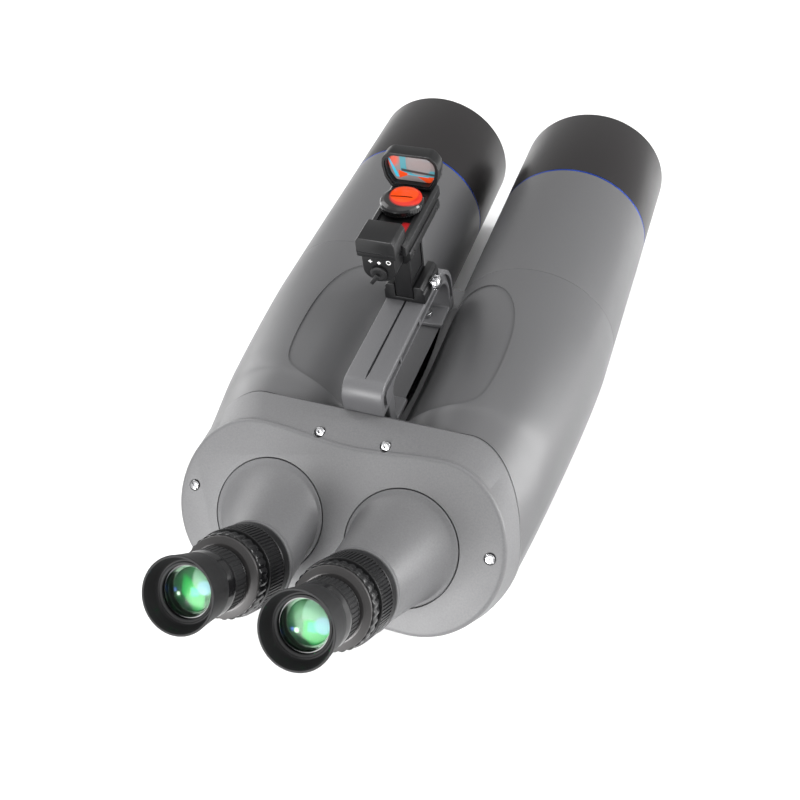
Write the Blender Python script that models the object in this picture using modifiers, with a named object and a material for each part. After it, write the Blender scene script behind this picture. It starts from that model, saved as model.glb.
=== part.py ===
"""Giant 45-degree binoculars with a reflex finder, as separate named pieces in metres.

The origin is the middle of the mounting foot's flat base, +Y points to the sky end, +Z is up.
"""

import math

import bmesh
import bpy
from mathutils import Matrix, Vector

# ---- driving dimensions (metres) ----
TUBE_RADIUS = 0.063
TUBE_SPACING = 0.146
AXIS_HEIGHT = 0.074
TOUCH_GAP = 0.0003
RUNNING_GAP = 0.0004

SHIELD_FRONT_Y = 0.265
SHIELD_LENGTH = 0.0848
SHIELD_WALL = 0.0025
TRIM_RING_WIDTH = 0.0018
FRONT_TUBE_LENGTH = 0.130
FRONT_TUBE_WALL = 0.0035
SPIGOT_LENGTH = 0.008
CELL_LENGTH = 0.050
CELL_STEM_LENGTH = 0.014
LENS_RADIUS = TUBE_RADIUS - 0.0105
APERTURE_RADIUS = LENS_RADIUS * 20 / 21
RETAINER_WIDTH = 0.004

CASTING_WALL = 0.005
WEB_HALF_HEIGHT = 0.032
SEAM_AXIS_Y = -0.1728
REAR_CROWN = 0.0585
REAR_UPPER_DROP = 0.0035
REAR_SIDE_RADIUS = 0.047
REAR_MIDDLE = 0.0085
REAR_LOWER_DEPTH = 0.0445
REAR_LOWER_STRAIGHT = 0.0590
REAR_LOWER_POWER = 1.85
TAPER_START_Y = 0.020
TAPER_POWER = 1.4
FLANGE_THICKNESS = 0.006
FLANGE_PROUD = 0.0004
MERGE_DEPTH = 0.0015
SCOOP_MIDDLE_Y = -0.040
SCOOP_HALF_LENGTH = 0.0745
SCOOP_MIDDLE_ANGLE = 38.0
SCOOP_HALF_ANGLE = 41.0
SCOOP_DEPTH = 0.006
SCOOP_STEP = 0.0012

FACE_LIFT = 0.0204
FACE_CENTRE_RISE = 0.0091
FACE_STRAIGHT = 0.064
FACE_SIDE_RADIUS = 0.051
FACE_LOWER_STRAIGHT = 0.0575
FACE_HALF_HEIGHT = 0.058
FACE_WAIST = 0.0045
FACE_ROUNDING = 0.003
CAP_WALL = 0.005

TURRET_X = 0.0467
TURRET_RISE = 0.0055
TURRET_RADIUS = 0.0380
TURRET_THICKNESS = 0.004
TURRET_SPIGOT_RADIUS = 0.0297
TURRET_PROUD = 0.0006
EYE_AXIS_X = 0.0352
EYE_AXIS_RISE = -0.0174
CONE_TOP_RADIUS = 0.026
CONE_HEIGHT = 0.036
COLLAR_RADIUS = 0.0272
COLLAR_TOP = 0.041
PRISM_WIDTH = 0.022

NECK_RADIUS = 0.0220
NECK_TOP = 0.064
SLEEVE_RADIUS = 0.0200
FOCUS_RING_RADIUS = 0.0266
FOCUS_RING_TOP = 0.068
LOCK_RING_RADIUS = 0.0258
LOCK_RING_TOP = 0.078
HOLDER_FLANGE_RADIUS = 0.0245
HOLDER_TOP = 0.081
BARREL_RADIUS = 0.01587
BARREL_START = 0.047
BODY_RADIUS = 0.0192
GRIP_TOP = 0.0975
CHAMFER_TOP = 0.1055
EYE_NECK_RADIUS = 0.0172
EYE_NECK_TOP = 0.1165
EYE_LENS_RADIUS = 0.0140
EYECUP_RIM_RADIUS = 0.0222
EYECUP_TOP = 0.1275
EYECUP_WALL = 0.0016

FOOT_LENGTH = 0.150
FOOT_WIDTH = 0.060
FOOT_PLATE = 0.008
FOOT_NECK_WIDTH = 0.030
FOOT_THREAD_RADIUS = 0.0040
FOOT_THREAD_Y = 0.030
FOOT_SCREW_Y = 0.056

HANDLE_TOP_RISE = 0.082
HANDLE_WIDTH = 0.029
HANDLE_BAR = 0.011
HANDLE_LEG = 0.010
HANDLE_FRONT_Y = 0.0316
HANDLE_REAR_Y = -0.115
HANDLE_FRONT_CORNER = 0.031
HANDLE_REAR_CORNER = 0.012
HANDLE_FOOT_LENGTH = 0.020
HANDLE_FOOT_THICKNESS = 0.004
HANDLE_SLIT_WIDTH = 0.0018
HANDLE_SLIT_DEPTH = 0.003

SHOE_REAR_Y = -0.027
SHOE_LENGTH = 0.030
SHOE_WIDTH = 0.030
SHOE_HEIGHT = 0.014
SHOE_FLOOR = 0.0032
POST_WIDTH = 0.013
POST_TOP_RISE = 0.133
SIGHT_WIDTH = 0.032
SIGHT_REAR_Y = -0.0525
SIGHT_FRONT_Y = 0.0150
CLAMP_HEIGHT = 0.010
CLAMP_SLOT = 0.0022
TRAY_HEIGHT = 0.0085
BLOCK_HEIGHT = 0.019
BLOCK_LENGTH = 0.020
BLOCK_TOP_WIDTH = 0.024
HOOD_TOP_RISE = 0.181
HOOD_DEPTH = 0.010
HOOD_FLAT_WIDTH = 0.028
HOOD_WIDTH = 0.040
HOOD_WALL = 0.003
HOOD_CLEAR = 0.0006
KNOB_RADIUS = 0.0145
KNOB_HEIGHT = 0.0075
KNOB_Y = -0.0135
SELECTOR_RADIUS = 0.0085

CASTING_SEGMENTS = 36
SEGMENTS = 36
RING_SEGMENTS = 24
SMALL_SEGMENTS = 12
LENS_SEGMENTS = 20

SLANT = math.sqrt(0.5)
UP_FACE = Vector((0.0, SLANT, SLANT))
OUT_OF_FACE = Vector((0.0, -SLANT, SLANT))
SEAM_POINT = Vector((0.0, SEAM_AXIS_Y, AXIS_HEIGHT))
HALF_SPACING = TUBE_SPACING / 2
SHIELD_REAR_Y = SHIELD_FRONT_Y - SHIELD_LENGTH
RING_REAR_Y = SHIELD_REAR_Y - TRIM_RING_WIDTH
CASTING_FRONT_Y = RING_REAR_Y - FRONT_TUBE_LENGTH
SIDES = {"left": -1, "right": 1}

GREY = ((0.155, 0.157, 0.163), 0.42, 0.0)
FACE_GREY = ((0.30, 0.30, 0.31), 0.50, 0.0)
GUNMETAL = ((0.045, 0.043, 0.045), 0.35, 0.6)
BLUE = ((0.01, 0.05, 0.28), 0.30, 0.9)
BLACK_METAL = ((0.012, 0.012, 0.013), 0.35, 0.5)
BLACK_PLASTIC = ((0.015, 0.015, 0.016), 0.40, 0.0)
RUBBER = ((0.02, 0.02, 0.021), 0.75, 0.0)
STEEL = ((0.62, 0.62, 0.64), 0.22, 1.0)
GLASS_GREEN = ((0.02, 0.22, 0.07), 0.05, 0.0)
GLASS_CLEAR = ((0.60, 0.72, 0.75), 0.05, 0.0)
BRASS = ((0.60, 0.42, 0.18), 0.30, 1.0)


# ---- scene and material helpers ----
def clear_scene():
    for old in list(bpy.data.objects):
        bpy.data.objects.remove(old, do_unlink=True)


def new_collection(name):
    collection = bpy.data.collections.new(name)
    bpy.context.scene.collection.children.link(collection)
    return collection


def make_material(name, finish):
    colour, roughness, metallic = finish
    material = bpy.data.materials.new(name)
    material.use_nodes = True
    shader = material.node_tree.nodes["Principled BSDF"]
    shader.inputs["Base Color"].default_value = (*colour, 1.0)
    shader.inputs["Roughness"].default_value = roughness
    shader.inputs["Metallic"].default_value = metallic
    return material


def add_part(name, mesh, finish, frame=None):
    part = bpy.data.objects.new(name, mesh)
    part.matrix_world = frame or Matrix()
    part.data.materials.clear()
    part.data.materials.append(make_material(name, finish))
    PARTS.objects.link(part)
    part.data.shade_smooth()
    part.data.set_sharp_from_angle(angle=math.radians(35))
    return part


def add_cutter(name, mesh, frame=None):
    cutter = bpy.data.objects.new(name, mesh)
    cutter.matrix_world = frame or Matrix()
    cutter.hide_render = True
    cutter.display_type = "WIRE"
    CUTTERS.objects.link(cutter)
    return cutter


def combine(part, tool, operation="DIFFERENCE"):
    modifier = part.modifiers.new(f"{operation.lower()} {tool.name}", "BOOLEAN")
    modifier.operation = operation
    modifier.object = tool
    return modifier


def evaluated_mesh(source):
    """The mesh of an object with its modifiers or curve settings worked in, its caps welded."""
    bpy.context.view_layer.update()
    graph = bpy.context.evaluated_depsgraph_get()
    mesh = bpy.data.meshes.new_from_object(source.evaluated_get(graph))
    shape = bmesh.new()
    shape.from_mesh(mesh)
    bmesh.ops.remove_doubles(shape, verts=shape.verts, dist=1e-6)
    shape.to_mesh(mesh)
    shape.free()
    return mesh


# ---- shape helpers ----
def tube_frame(side, height=0.0):
    """A frame on one tube's axis whose local Z is world +Y."""
    place = Matrix.Translation((side * HALF_SPACING, 0.0, AXIS_HEIGHT + height))
    return place @ Matrix.Rotation(-math.pi / 2, 4, "X")


def face_point(x, rise, lift):
    """A point given by its place across the slanted rear face and its lift above that face."""
    return SEAM_POINT + Vector((x, 0, 0)) + UP_FACE * rise + OUT_OF_FACE * (FACE_LIFT + lift)


def face_frame(x, rise, lift=0.0):
    """A frame on the slanted rear face whose local Z points out of the face."""
    return Matrix.Translation(face_point(x, rise, lift)) @ Matrix.Rotation(math.pi / 4, 4, "X")


def turned_mesh(name, outline, segments=SEGMENTS):
    """A solid of revolution about local Z from (radius, height) points, outer side top to bottom."""
    mesh = bpy.data.meshes.new(name)
    profile = bpy.data.objects.new(name + "_profile", mesh)
    bpy.context.scene.collection.objects.link(profile)
    points = [(radius, 0.0, height) for radius, height in outline]
    closed = min(radius for radius, height in outline) > 0
    edges = [(i, i + 1) for i in range(len(points) - 1)]
    if closed:
        edges.append((len(points) - 1, 0))
    mesh.from_pydata(points, edges, [])
    screw = profile.modifiers.new("turn", "SCREW")
    screw.steps = segments
    screw.render_steps = segments
    screw.use_merge_vertices = True
    screw.merge_threshold = 0.00001
    result = evaluated_mesh(profile)
    bpy.data.objects.remove(profile)
    return result


def turned(name, outline, finish, frame, segments=SEGMENTS):
    return add_part(name, turned_mesh(name, outline, segments), finish, frame)


def ring_outline(inner, outer, low, high):
    return [(outer, high), (outer, low), (inner, low), (inner, high)]


def disc_outline(radius, low, high):
    return [(0.0, high), (radius, high), (radius, low), (0.0, low)]


def arc_points(centre, radius, start, end, steps):
    """Points on an arc, its angles in degrees from the first axis of the plane it lies in."""
    angles = [math.radians(start + (end - start) * i / steps) for i in range(steps + 1)]
    return [(centre[0] + radius * math.cos(a), centre[1] + radius * math.sin(a)) for a in angles]


def plate_mesh(name, outline, thickness):
    """A flat outline in local XY, thickened equally along local Z."""
    curve = bpy.data.curves.new(name, "CURVE")
    curve.dimensions = "2D"
    curve.fill_mode = "BOTH"
    curve.extrude = thickness / 2
    spline = curve.splines.new("POLY")
    spline.points.add(len(outline) - 1)
    for point, (x, y) in zip(spline.points, outline):
        point.co = (x, y, 0.0, 1.0)
    spline.use_cyclic_u = True
    holder = bpy.data.objects.new(name + "_curve", curve)
    bpy.context.scene.collection.objects.link(holder)
    mesh = evaluated_mesh(holder)
    bpy.data.objects.remove(holder)
    return mesh


def box_mesh(name, low, high):
    shape = bmesh.new()
    size = [high[i] - low[i] for i in range(3)]
    middle = [(high[i] + low[i]) / 2 for i in range(3)]
    matrix = Matrix.Translation(middle) @ Matrix.Diagonal((*size, 1.0))
    bmesh.ops.create_cube(shape, size=1.0, matrix=matrix)
    mesh = bpy.data.meshes.new(name)
    shape.to_mesh(mesh)
    shape.free()
    return mesh


def cylinder_mesh(name, radius, low, high, segments=SMALL_SEGMENTS):
    return turned_mesh(name, disc_outline(radius, low, high), segments)


def loft_mesh(name, rings):
    """A closed solid through rings of matching points, its first and last ring capped."""
    shape = bmesh.new()
    rows = [[shape.verts.new(point) for point in ring] for ring in rings]
    count = len(rings[0])
    for near, far in zip(rows, rows[1:]):
        for i in range(count):
            j = (i + 1) % count
            shape.faces.new((near[i], near[j], far[j], far[i]))
    shape.faces.new(reversed(rows[0]))
    shape.faces.new(rows[-1])
    bmesh.ops.recalc_face_normals(shape, faces=shape.faces)
    bmesh.ops.triangulate(shape, faces=[face for face in shape.faces if len(face.verts) == 4])
    mesh = bpy.data.meshes.new(name)
    shape.to_mesh(mesh)
    shape.free()
    return mesh


def ease(value):
    """0 to 1 with level ends."""
    value = min(1.0, max(0.0, value))
    return value * value * (3 - 2 * value)


# ---- casting ----
def scoop_depth(angle, y):
    """How far the finger scoop is sunk, at an angle in degrees from the top towards the web."""
    across = (angle - SCOOP_MIDDLE_ANGLE) / SCOOP_HALF_ANGLE
    along = (y - SCOOP_MIDDLE_Y) / SCOOP_HALF_LENGTH
    reach = abs(across) ** 2.4 + abs(along) ** 2.4
    if reach >= 1:
        return 0.0
    towards_web = ease((angle + 3) / 75)
    return SCOOP_STEP + SCOOP_DEPTH * towards_web * (1 - reach)


def signed_power(value, power):
    return math.copysign(abs(value) ** power, value)


def rear_half_width(height, side_radius, crown, drop):
    """How far the upper outer quarter of an outline reaches past its straight part."""
    share = min(1.0, max(0.0, (height + drop) / (crown + drop)))
    return side_radius * math.sqrt(1 - share * share)


def rear_section(cosine, across, inset):
    """A point of one tube's outline where it meets the seam, in (outward, up) from the tube axis."""
    lower = HALF_SPACING - REAR_LOWER_STRAIGHT
    if cosine >= 0:
        up = REAR_MIDDLE + (REAR_CROWN - inset - REAR_MIDDLE) * cosine
        if across > 0:
            return -(TUBE_RADIUS - inset) * across, up
        if cosine == 1:
            return 0.0, up
        return rear_half_width(up, REAR_SIDE_RADIUS - inset, REAR_CROWN - inset, REAR_UPPER_DROP), up
    power = 2 / REAR_LOWER_POWER
    up = REAR_MIDDLE + (REAR_LOWER_DEPTH - inset) * signed_power(cosine, power)
    if across > 0:
        return -lower - (TUBE_RADIUS - inset - lower) * abs(across) ** power, up
    middle_width = rear_half_width(REAR_MIDDLE, REAR_SIDE_RADIUS - inset, REAR_CROWN - inset,
        REAR_UPPER_DROP)
    return -lower + (middle_width + lower) * abs(across) ** power, up


def tube_section(side, y, slant, inset=0.0, segments=CASTING_SEGMENTS):
    """One ring round a casting tube; slant 1 lays it in the 45-degree seam plane."""
    share = (TAPER_START_Y - y) / (TAPER_START_Y - SEAM_AXIS_Y)
    taper = min(1.0, max(0.0, share)) ** TAPER_POWER
    ring = []
    for i in range(segments):
        angle = 360.0 * i / segments
        towards_web = angle if angle <= 180 else angle - 360
        sink = scoop_depth(towards_web, y) + inset
        cosine = round(math.cos(math.radians(angle)), 9)
        across = round(math.sin(math.radians(angle)), 9)
        outward, up = rear_section(cosine, across, sink)
        outward = taper * outward - (1 - taper) * (TUBE_RADIUS - sink) * across
        up = taper * up + (1 - taper) * (TUBE_RADIUS - sink) * cosine
        ring.append((side * (HALF_SPACING + outward), y + slant * up, AXIS_HEIGHT + up))
    return ring


def tube_loft(side, inset, front_y, shift):
    """The outside of one casting tube, or its hollow; shift moves its slanted end from the seam."""
    steps = 13
    rear_y = SEAM_AXIS_Y + shift
    rings = []
    for i in range(steps + 1):
        share = i / steps
        y = front_y + (rear_y - front_y) * share
        rings.append(tube_section(side, y, ease((share - 0.55) / 0.45), inset))
    return loft_mesh("tube_loft", rings)


def rounded_outline(upper, lower, middle, inset, arc_steps=10):
    """Half a wide outline: upper is (straight, radius, crown, drop), lower is (straight, depth, power)."""
    straight, radius, crown, drop = upper
    right = []
    for i in range(arc_steps + 1):
        angle = math.radians(90 * i / arc_steps)
        up = middle + (crown - inset - middle) * math.cos(angle)
        width = rear_half_width(up, radius - inset, crown - inset, drop) if i else 0.0
        right.append((straight + width, up))
    join_width = right[-1][0]
    straight, depth, power = lower
    for i in range(1, arc_steps + 1):
        angle = math.radians(90 * i / arc_steps)
        reach = math.cos(angle) ** (2 / power) if i < arc_steps else 0.0
        x = straight + (join_width - straight) * reach
        right.append((x, middle - (depth - inset) * math.sin(angle) ** (2 / power)))
    return right


def full_outline(right, waist=0.0):
    """A right half outline with its mirror image, its upper middle drawn in by the waist."""
    top, low = right[0], right[-1]
    flats = [-0.5, 0.0, 0.5]
    bottom = [(-low[0] * share, low[1]) for share in flats]
    upper = [(top[0] * share, top[1] - waist * (1 - abs(share))) for share in flats]
    left = [(-x, z) for x, z in reversed(right)]
    return right + bottom + left + upper


def rear_ring(outline, rise, lift):
    """An outline laid parallel to the rear face; lift is measured from the seam plane."""
    return [face_point(x, rise + z, lift - FACE_LIFT) for x, z in outline]


def seam_outline(inset=0.0):
    inset -= FLANGE_PROUD
    upper = (HALF_SPACING, REAR_SIDE_RADIUS, REAR_CROWN / SLANT, REAR_UPPER_DROP / SLANT)
    lower = (REAR_LOWER_STRAIGHT, REAR_LOWER_DEPTH / SLANT, REAR_LOWER_POWER)
    return full_outline(rounded_outline(upper, lower, REAR_MIDDLE / SLANT, inset))


def face_outline(inset=0.0):
    upper = (FACE_STRAIGHT, FACE_SIDE_RADIUS, FACE_HALF_HEIGHT, 0)
    lower = (FACE_LOWER_STRAIGHT, FACE_HALF_HEIGHT, 2)
    return full_outline(rounded_outline(upper, lower, 0.0, inset), FACE_WAIST)


def make_main_casting():
    body = add_part("main_casting", tube_loft(1, 0.0, CASTING_FRONT_Y, MERGE_DEPTH), GREY)
    other = add_cutter("casting_left_tube", tube_loft(-1, 0.0, CASTING_FRONT_Y, MERGE_DEPTH))
    combine(body, other, "UNION")
    reach = HALF_SPACING - 0.02
    web_front = CASTING_FRONT_Y - MERGE_DEPTH
    web_rear = SEAM_AXIS_Y + MERGE_DEPTH * 2
    outline = [
        (web_front, -WEB_HALF_HEIGHT),
        (web_front, WEB_HALF_HEIGHT),
        (web_rear + WEB_HALF_HEIGHT, WEB_HALF_HEIGHT),
        (web_rear - WEB_HALF_HEIGHT, -WEB_HALF_HEIGHT),
    ]
    upright = Matrix.Translation((0, 0, AXIS_HEIGHT)) @ yz_frame()
    web = add_cutter("casting_web", plate_mesh("web", outline, 2 * reach), upright)
    combine(body, web, "UNION")
    flange_rings = [rear_ring(seam_outline(), 0.0, lift) for lift in (-FLANGE_THICKNESS, 0.0)]
    flange = add_cutter("casting_flange", loft_mesh("flange", flange_rings))
    combine(body, flange, "UNION")
    core = box_mesh("core", (-0.009, -0.3, -0.026), (0.009, CASTING_FRONT_Y - 0.006, 0.026))
    combine(body, add_cutter("casting_core", core, Matrix.Translation((0, 0, AXIS_HEIGHT))))
    for name, side in SIDES.items():
        hollow = tube_loft(side, CASTING_WALL, CASTING_FRONT_Y - 0.002, -0.012)
        combine(body, add_cutter(f"casting_hollow_{name}", hollow))
        mouth = turned_mesh("mouth", disc_outline(
            TUBE_RADIUS - CASTING_WALL + TOUCH_GAP, CASTING_FRONT_Y - SPIGOT_LENGTH - 0.001,
            CASTING_FRONT_Y + 0.01))
        combine(body, add_cutter(f"casting_mouth_{name}", mouth, tube_frame(side)))
    return body


def yz_frame():
    """Turns a plate drawn in (y, z) so that its thickness lies along world X."""
    return Matrix(((0, 0, 1, 0), (1, 0, 0, 0), (0, 1, 0, 0), (0, 0, 0, 1)))


# ---- front tubes, objectives and dew shields ----
def make_front_end(name, side):
    frame = tube_frame(side)
    inner = TUBE_RADIUS - FRONT_TUBE_WALL
    spigot = TUBE_RADIUS - CASTING_WALL
    low = CASTING_FRONT_Y + TOUCH_GAP
    high = RING_REAR_Y - TOUCH_GAP
    turned(f"{name}_front_tube", [
        (TUBE_RADIUS, high), (TUBE_RADIUS, low), (spigot, low), (spigot, low - SPIGOT_LENGTH),
        (spigot - 0.003, low - SPIGOT_LENGTH), (spigot - 0.003, low + 0.006), (inner, low + 0.012),
        (inner, high),
    ], GREY, frame)
    cell_outer = TUBE_RADIUS - SHIELD_WALL - RUNNING_GAP
    ring_inner = cell_outer - 0.003
    turned(f"{name}_trim_ring", ring_outline(
        ring_inner + TOUCH_GAP, TUBE_RADIUS, RING_REAR_Y, SHIELD_REAR_Y - TOUCH_GAP), BLUE, frame)
    make_objective(name, frame, cell_outer, ring_inner, inner - TOUCH_GAP)
    turned(f"{name}_dew_shield", ring_outline(
        TUBE_RADIUS - SHIELD_WALL, TUBE_RADIUS, SHIELD_REAR_Y, SHIELD_FRONT_Y), GUNMETAL, frame)


def make_objective(name, frame, cell_outer, waist, stem):
    base = SHIELD_REAR_Y
    top = base + CELL_LENGTH
    seat = base + 0.012
    lens_seat = LENS_RADIUS + TOUCH_GAP
    rear_lip = APERTURE_RADIUS - 0.001
    stem_low = base - TRIM_RING_WIDTH - CELL_STEM_LENGTH
    turned(f"{name}_objective_cell", [
        (cell_outer, top), (cell_outer, base), (waist, base), (waist, RING_REAR_Y), (stem, RING_REAR_Y),
        (stem, stem_low), (rear_lip, stem_low), (rear_lip, seat), (lens_seat, seat), (lens_seat, top),
    ], BLACK_METAL, frame)
    flint_low = seat + TOUCH_GAP
    flint_high = flint_low + 0.008
    turned(f"{name}_objective_rear_lens", [
        (0.0, flint_high - 0.003), (LENS_RADIUS * 0.5, flint_high - 0.0022), (LENS_RADIUS, flint_high),
        (LENS_RADIUS, flint_low), (0.0, flint_low + 0.001),
    ], GLASS_CLEAR, frame, LENS_SEGMENTS)
    crown_low = flint_high + TOUCH_GAP
    crown_high = crown_low + 0.006
    turned(f"{name}_objective_front_lens", [
        (0.0, crown_high + 0.0035), (LENS_RADIUS * 0.5, crown_high + 0.0027), (LENS_RADIUS, crown_high),
        (LENS_RADIUS, crown_low), (0.0, crown_low - 0.002),
    ], GLASS_GREEN, frame, LENS_SEGMENTS)
    ring_low = crown_high + TOUCH_GAP
    turned(f"{name}_lens_retainer", ring_outline(
        APERTURE_RADIUS, lens_seat - TOUCH_GAP, ring_low, ring_low + RETAINER_WIDTH), BLACK_METAL,
        frame, RING_SEGMENTS)


# ---- rear cap ----
# Each screw is (sideways, up the face, underside of the head, tip), the last two measured from the face.
CAP_SCREWS = {
    "cap_screw_upper_left": (-0.0232, 0.0575, -0.0079, -0.0160),
    "cap_screw_upper_right": (0.0232, 0.0575, -0.0079, -0.0160),
    "cap_screw_outer_left": (-0.1044, 0.0040, -0.0012, -0.0100),
    "cap_screw_outer_right": (0.1044, 0.0040, -0.0012, -0.0100),
}
SCREW_HEAD_RADIUS = 0.0032
SCREW_HEAD_HEIGHT = 0.0025
SCREW_SHANK_RADIUS = 0.0018
SCREW_POCKET_CLEAR = 0.0006
SOCKET_RADIUS = 0.0013
SOCKET_DEPTH = 0.0015


def make_rear_cap():
    low = TOUCH_GAP
    rings = [
        rear_ring(seam_outline(), 0.0, low),
        rear_ring(face_outline(), FACE_CENTRE_RISE, FACE_LIFT - FACE_ROUNDING),
        rear_ring(face_outline(FACE_ROUNDING), FACE_CENTRE_RISE, FACE_LIFT),
    ]
    cap = add_part("rear_cap", loft_mesh("rear_cap", rings), FACE_GREY)
    plate_floor = FACE_LIFT - CAP_WALL
    hollow_rings = [
        rear_ring(seam_outline(CAP_WALL * 1.6), 0.0, -0.004),
        rear_ring(face_outline(CAP_WALL * 1.6), FACE_CENTRE_RISE, plate_floor),
    ]
    combine(cap, add_cutter("cap_hollow", loft_mesh("cap_hollow", hollow_rings)))
    for name, side in SIDES.items():
        frame = face_frame(side * TURRET_X, TURRET_RISE)
        recess_floor = TURRET_PROUD - TURRET_THICKNESS - TOUCH_GAP
        outline = [
            (0.0, 0.01), (TURRET_RADIUS + RUNNING_GAP, 0.01),
            (TURRET_RADIUS + RUNNING_GAP, recess_floor),
            (TURRET_SPIGOT_RADIUS + RUNNING_GAP, recess_floor),
            (TURRET_SPIGOT_RADIUS + RUNNING_GAP, -0.02),
            (0.0, -0.02),
        ]
        combine(cap, add_cutter(f"turret_seat_{name}", turned_mesh("turret_seat", outline), frame))
    for name in CAP_SCREWS:
        make_cap_screw(cap, name)
    return cap


def make_cap_screw(cap, name):
    x, rise, head_low, tip = CAP_SCREWS[name]
    frame = face_frame(x, FACE_CENTRE_RISE + rise)
    shank = SCREW_SHANK_RADIUS + TOUCH_GAP
    pocket = SCREW_HEAD_RADIUS + SCREW_POCKET_CLEAR
    seat = [
        (0.0, 0.01), (pocket, 0.01), (pocket, head_low - TOUCH_GAP),
        (shank, head_low - TOUCH_GAP), (shank, -0.05), (0.0, -0.05),
    ]
    combine(cap, add_cutter(name + "_seat", turned_mesh("seat", seat, SMALL_SEGMENTS), frame))
    head_top = head_low + SCREW_HEAD_HEIGHT
    socket_floor = head_top - SOCKET_DEPTH
    turned(name, [
        (0.0, socket_floor), (SOCKET_RADIUS, socket_floor), (SOCKET_RADIUS, head_top),
        (SCREW_HEAD_RADIUS, head_top), (SCREW_HEAD_RADIUS, head_low), (SCREW_SHANK_RADIUS, head_low),
        (SCREW_SHANK_RADIUS, tip), (0.0, tip),
    ], STEEL, frame, SMALL_SEGMENTS)


# ---- turret, prisms and eyepiece ----
def cone_rings(side):
    """Rings of the eccentric cone in the turret's own frame, from the disc up to the collar."""
    shift = Vector((side * (EYE_AXIS_X - TURRET_X), EYE_AXIS_RISE - TURRET_RISE))
    base_radius = TURRET_RADIUS - 0.0018
    steps = 7
    rings = []
    for i in range(steps + 1):
        share = i / steps
        radius = base_radius + (CONE_TOP_RADIUS - base_radius) * share ** 0.75
        height = TURRET_PROUD + (CONE_HEIGHT - TURRET_PROUD) * share ** 1.25
        centre = shift * share
        rings.append(ring_points(centre, radius, height))
    rings.append(ring_points(shift, COLLAR_RADIUS, CONE_HEIGHT + 0.0015))
    rings.append(ring_points(shift, COLLAR_RADIUS, COLLAR_TOP))
    return rings


def ring_points(centre, radius, height, segments=SEGMENTS):
    angles = [2 * math.pi * i / segments for i in range(segments)]
    return [(centre[0] + radius * math.cos(a), centre[1] + radius * math.sin(a), height) for a in angles]


def make_turret(name, side):
    frame = face_frame(side * TURRET_X, TURRET_RISE)
    disc_low = TURRET_PROUD - TURRET_THICKNESS
    rings = [ring_points((0, 0), TURRET_RADIUS, disc_low),
        ring_points((0, 0), TURRET_RADIUS, TURRET_PROUD)]
    cone = loft_mesh(f"{name}_turret", rings + cone_rings(side))
    turret = add_part(f"{name}_turret", cone, FACE_GREY, frame)
    eye_frame = face_frame(side * EYE_AXIS_X, EYE_AXIS_RISE)
    spigot = cylinder_mesh("spigot", TURRET_SPIGOT_RADIUS, -0.012, 0.0, SEGMENTS)
    combine(turret, add_cutter(f"{name}_turret_spigot", spigot, frame), "UNION")
    neck = cylinder_mesh("neck", NECK_RADIUS, CONE_HEIGHT, NECK_TOP, SEGMENTS)
    combine(turret, add_cutter(f"{name}_turret_neck", neck, eye_frame), "UNION")
    bore = [
        (0.0, 0.1), (SLEEVE_RADIUS + RUNNING_GAP, 0.1), (SLEEVE_RADIUS + RUNNING_GAP, 0.026),
        (0.011, 0.026),
        (0.011, 0.010), (0.0, 0.010),
    ]
    combine(turret, add_cutter(f"{name}_turret_bore", turned_mesh("bore", bore, RING_SEGMENTS),
        eye_frame))
    offset = Vector((side * (EYE_AXIS_X - TURRET_X), EYE_AXIS_RISE - TURRET_RISE))
    prism_frame = frame @ rhomb_frame(offset)
    pocket = plate_mesh("pocket", rhomb_outline(offset.length, 0.001, 0.012), PRISM_WIDTH + 0.002)
    combine(turret, add_cutter(f"{name}_prism_pocket", pocket, prism_frame))
    prism = plate_mesh("rhomb", rhomb_outline(offset.length, 0.0, 0.0), PRISM_WIDTH)
    add_part(f"{name}_rhomboid_prism", prism, GLASS_CLEAR, prism_frame)
    turned(f"{name}_turret_retainer", ring_outline(
        TURRET_SPIGOT_RADIUS - 0.0072, TURRET_SPIGOT_RADIUS + 0.0033, -0.0148, -0.0123), BLACK_METAL,
        frame, RING_SEGMENTS)


def rhomb_frame(offset):
    """Local X along the turret's offset, local Y out of the face, thickness across."""
    along = Vector((offset.x, offset.y, 0)).normalized()
    out = Vector((0, 0, 1))
    across = along.cross(out)
    return Matrix((
        (along.x, out.x, across.x, 0), (along.y, out.y, across.y, 0), (along.z, out.z, across.z, 0),
        (0, 0, 0, 1)))


RHOMB_LOW = -0.006


def rhomb_outline(shift, clearance, mouth):
    half = PRISM_WIDTH / 2
    low = RHOMB_LOW - clearance - mouth
    high = RHOMB_LOW + PRISM_WIDTH + clearance
    slope = clearance * 1.5
    return [
        (-half - slope, low), (shift - half + slope - mouth, low),
        (shift - half + slope, RHOMB_LOW - clearance),
        (shift + half + slope, high), (half - slope, high),
        (-half - slope, RHOMB_LOW - clearance + 0.0001),
    ]


def make_erecting_prism(name, side):
    reach = 0.019
    bend = Vector((SEAM_AXIS_Y + 0.008, 0.0))
    entry_y = bend.x + 0.030
    exit_middle = bend + Vector((-SLANT, SLANT)) * 0.008
    exit_half = Vector((SLANT, SLANT)) * reach
    outline = [
        (entry_y, -reach), (entry_y, reach * 0.85), tuple(exit_middle + exit_half * 0.8),
        tuple(exit_middle - exit_half), (bend.x - 0.006, -reach),
    ]
    frame = Matrix.Translation((side * (TURRET_X + 0.013), 0, AXIS_HEIGHT)) @ yz_frame()
    add_part(f"{name}_erecting_prism", plate_mesh("erecting_prism", outline, 0.046), GLASS_CLEAR, frame)


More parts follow.
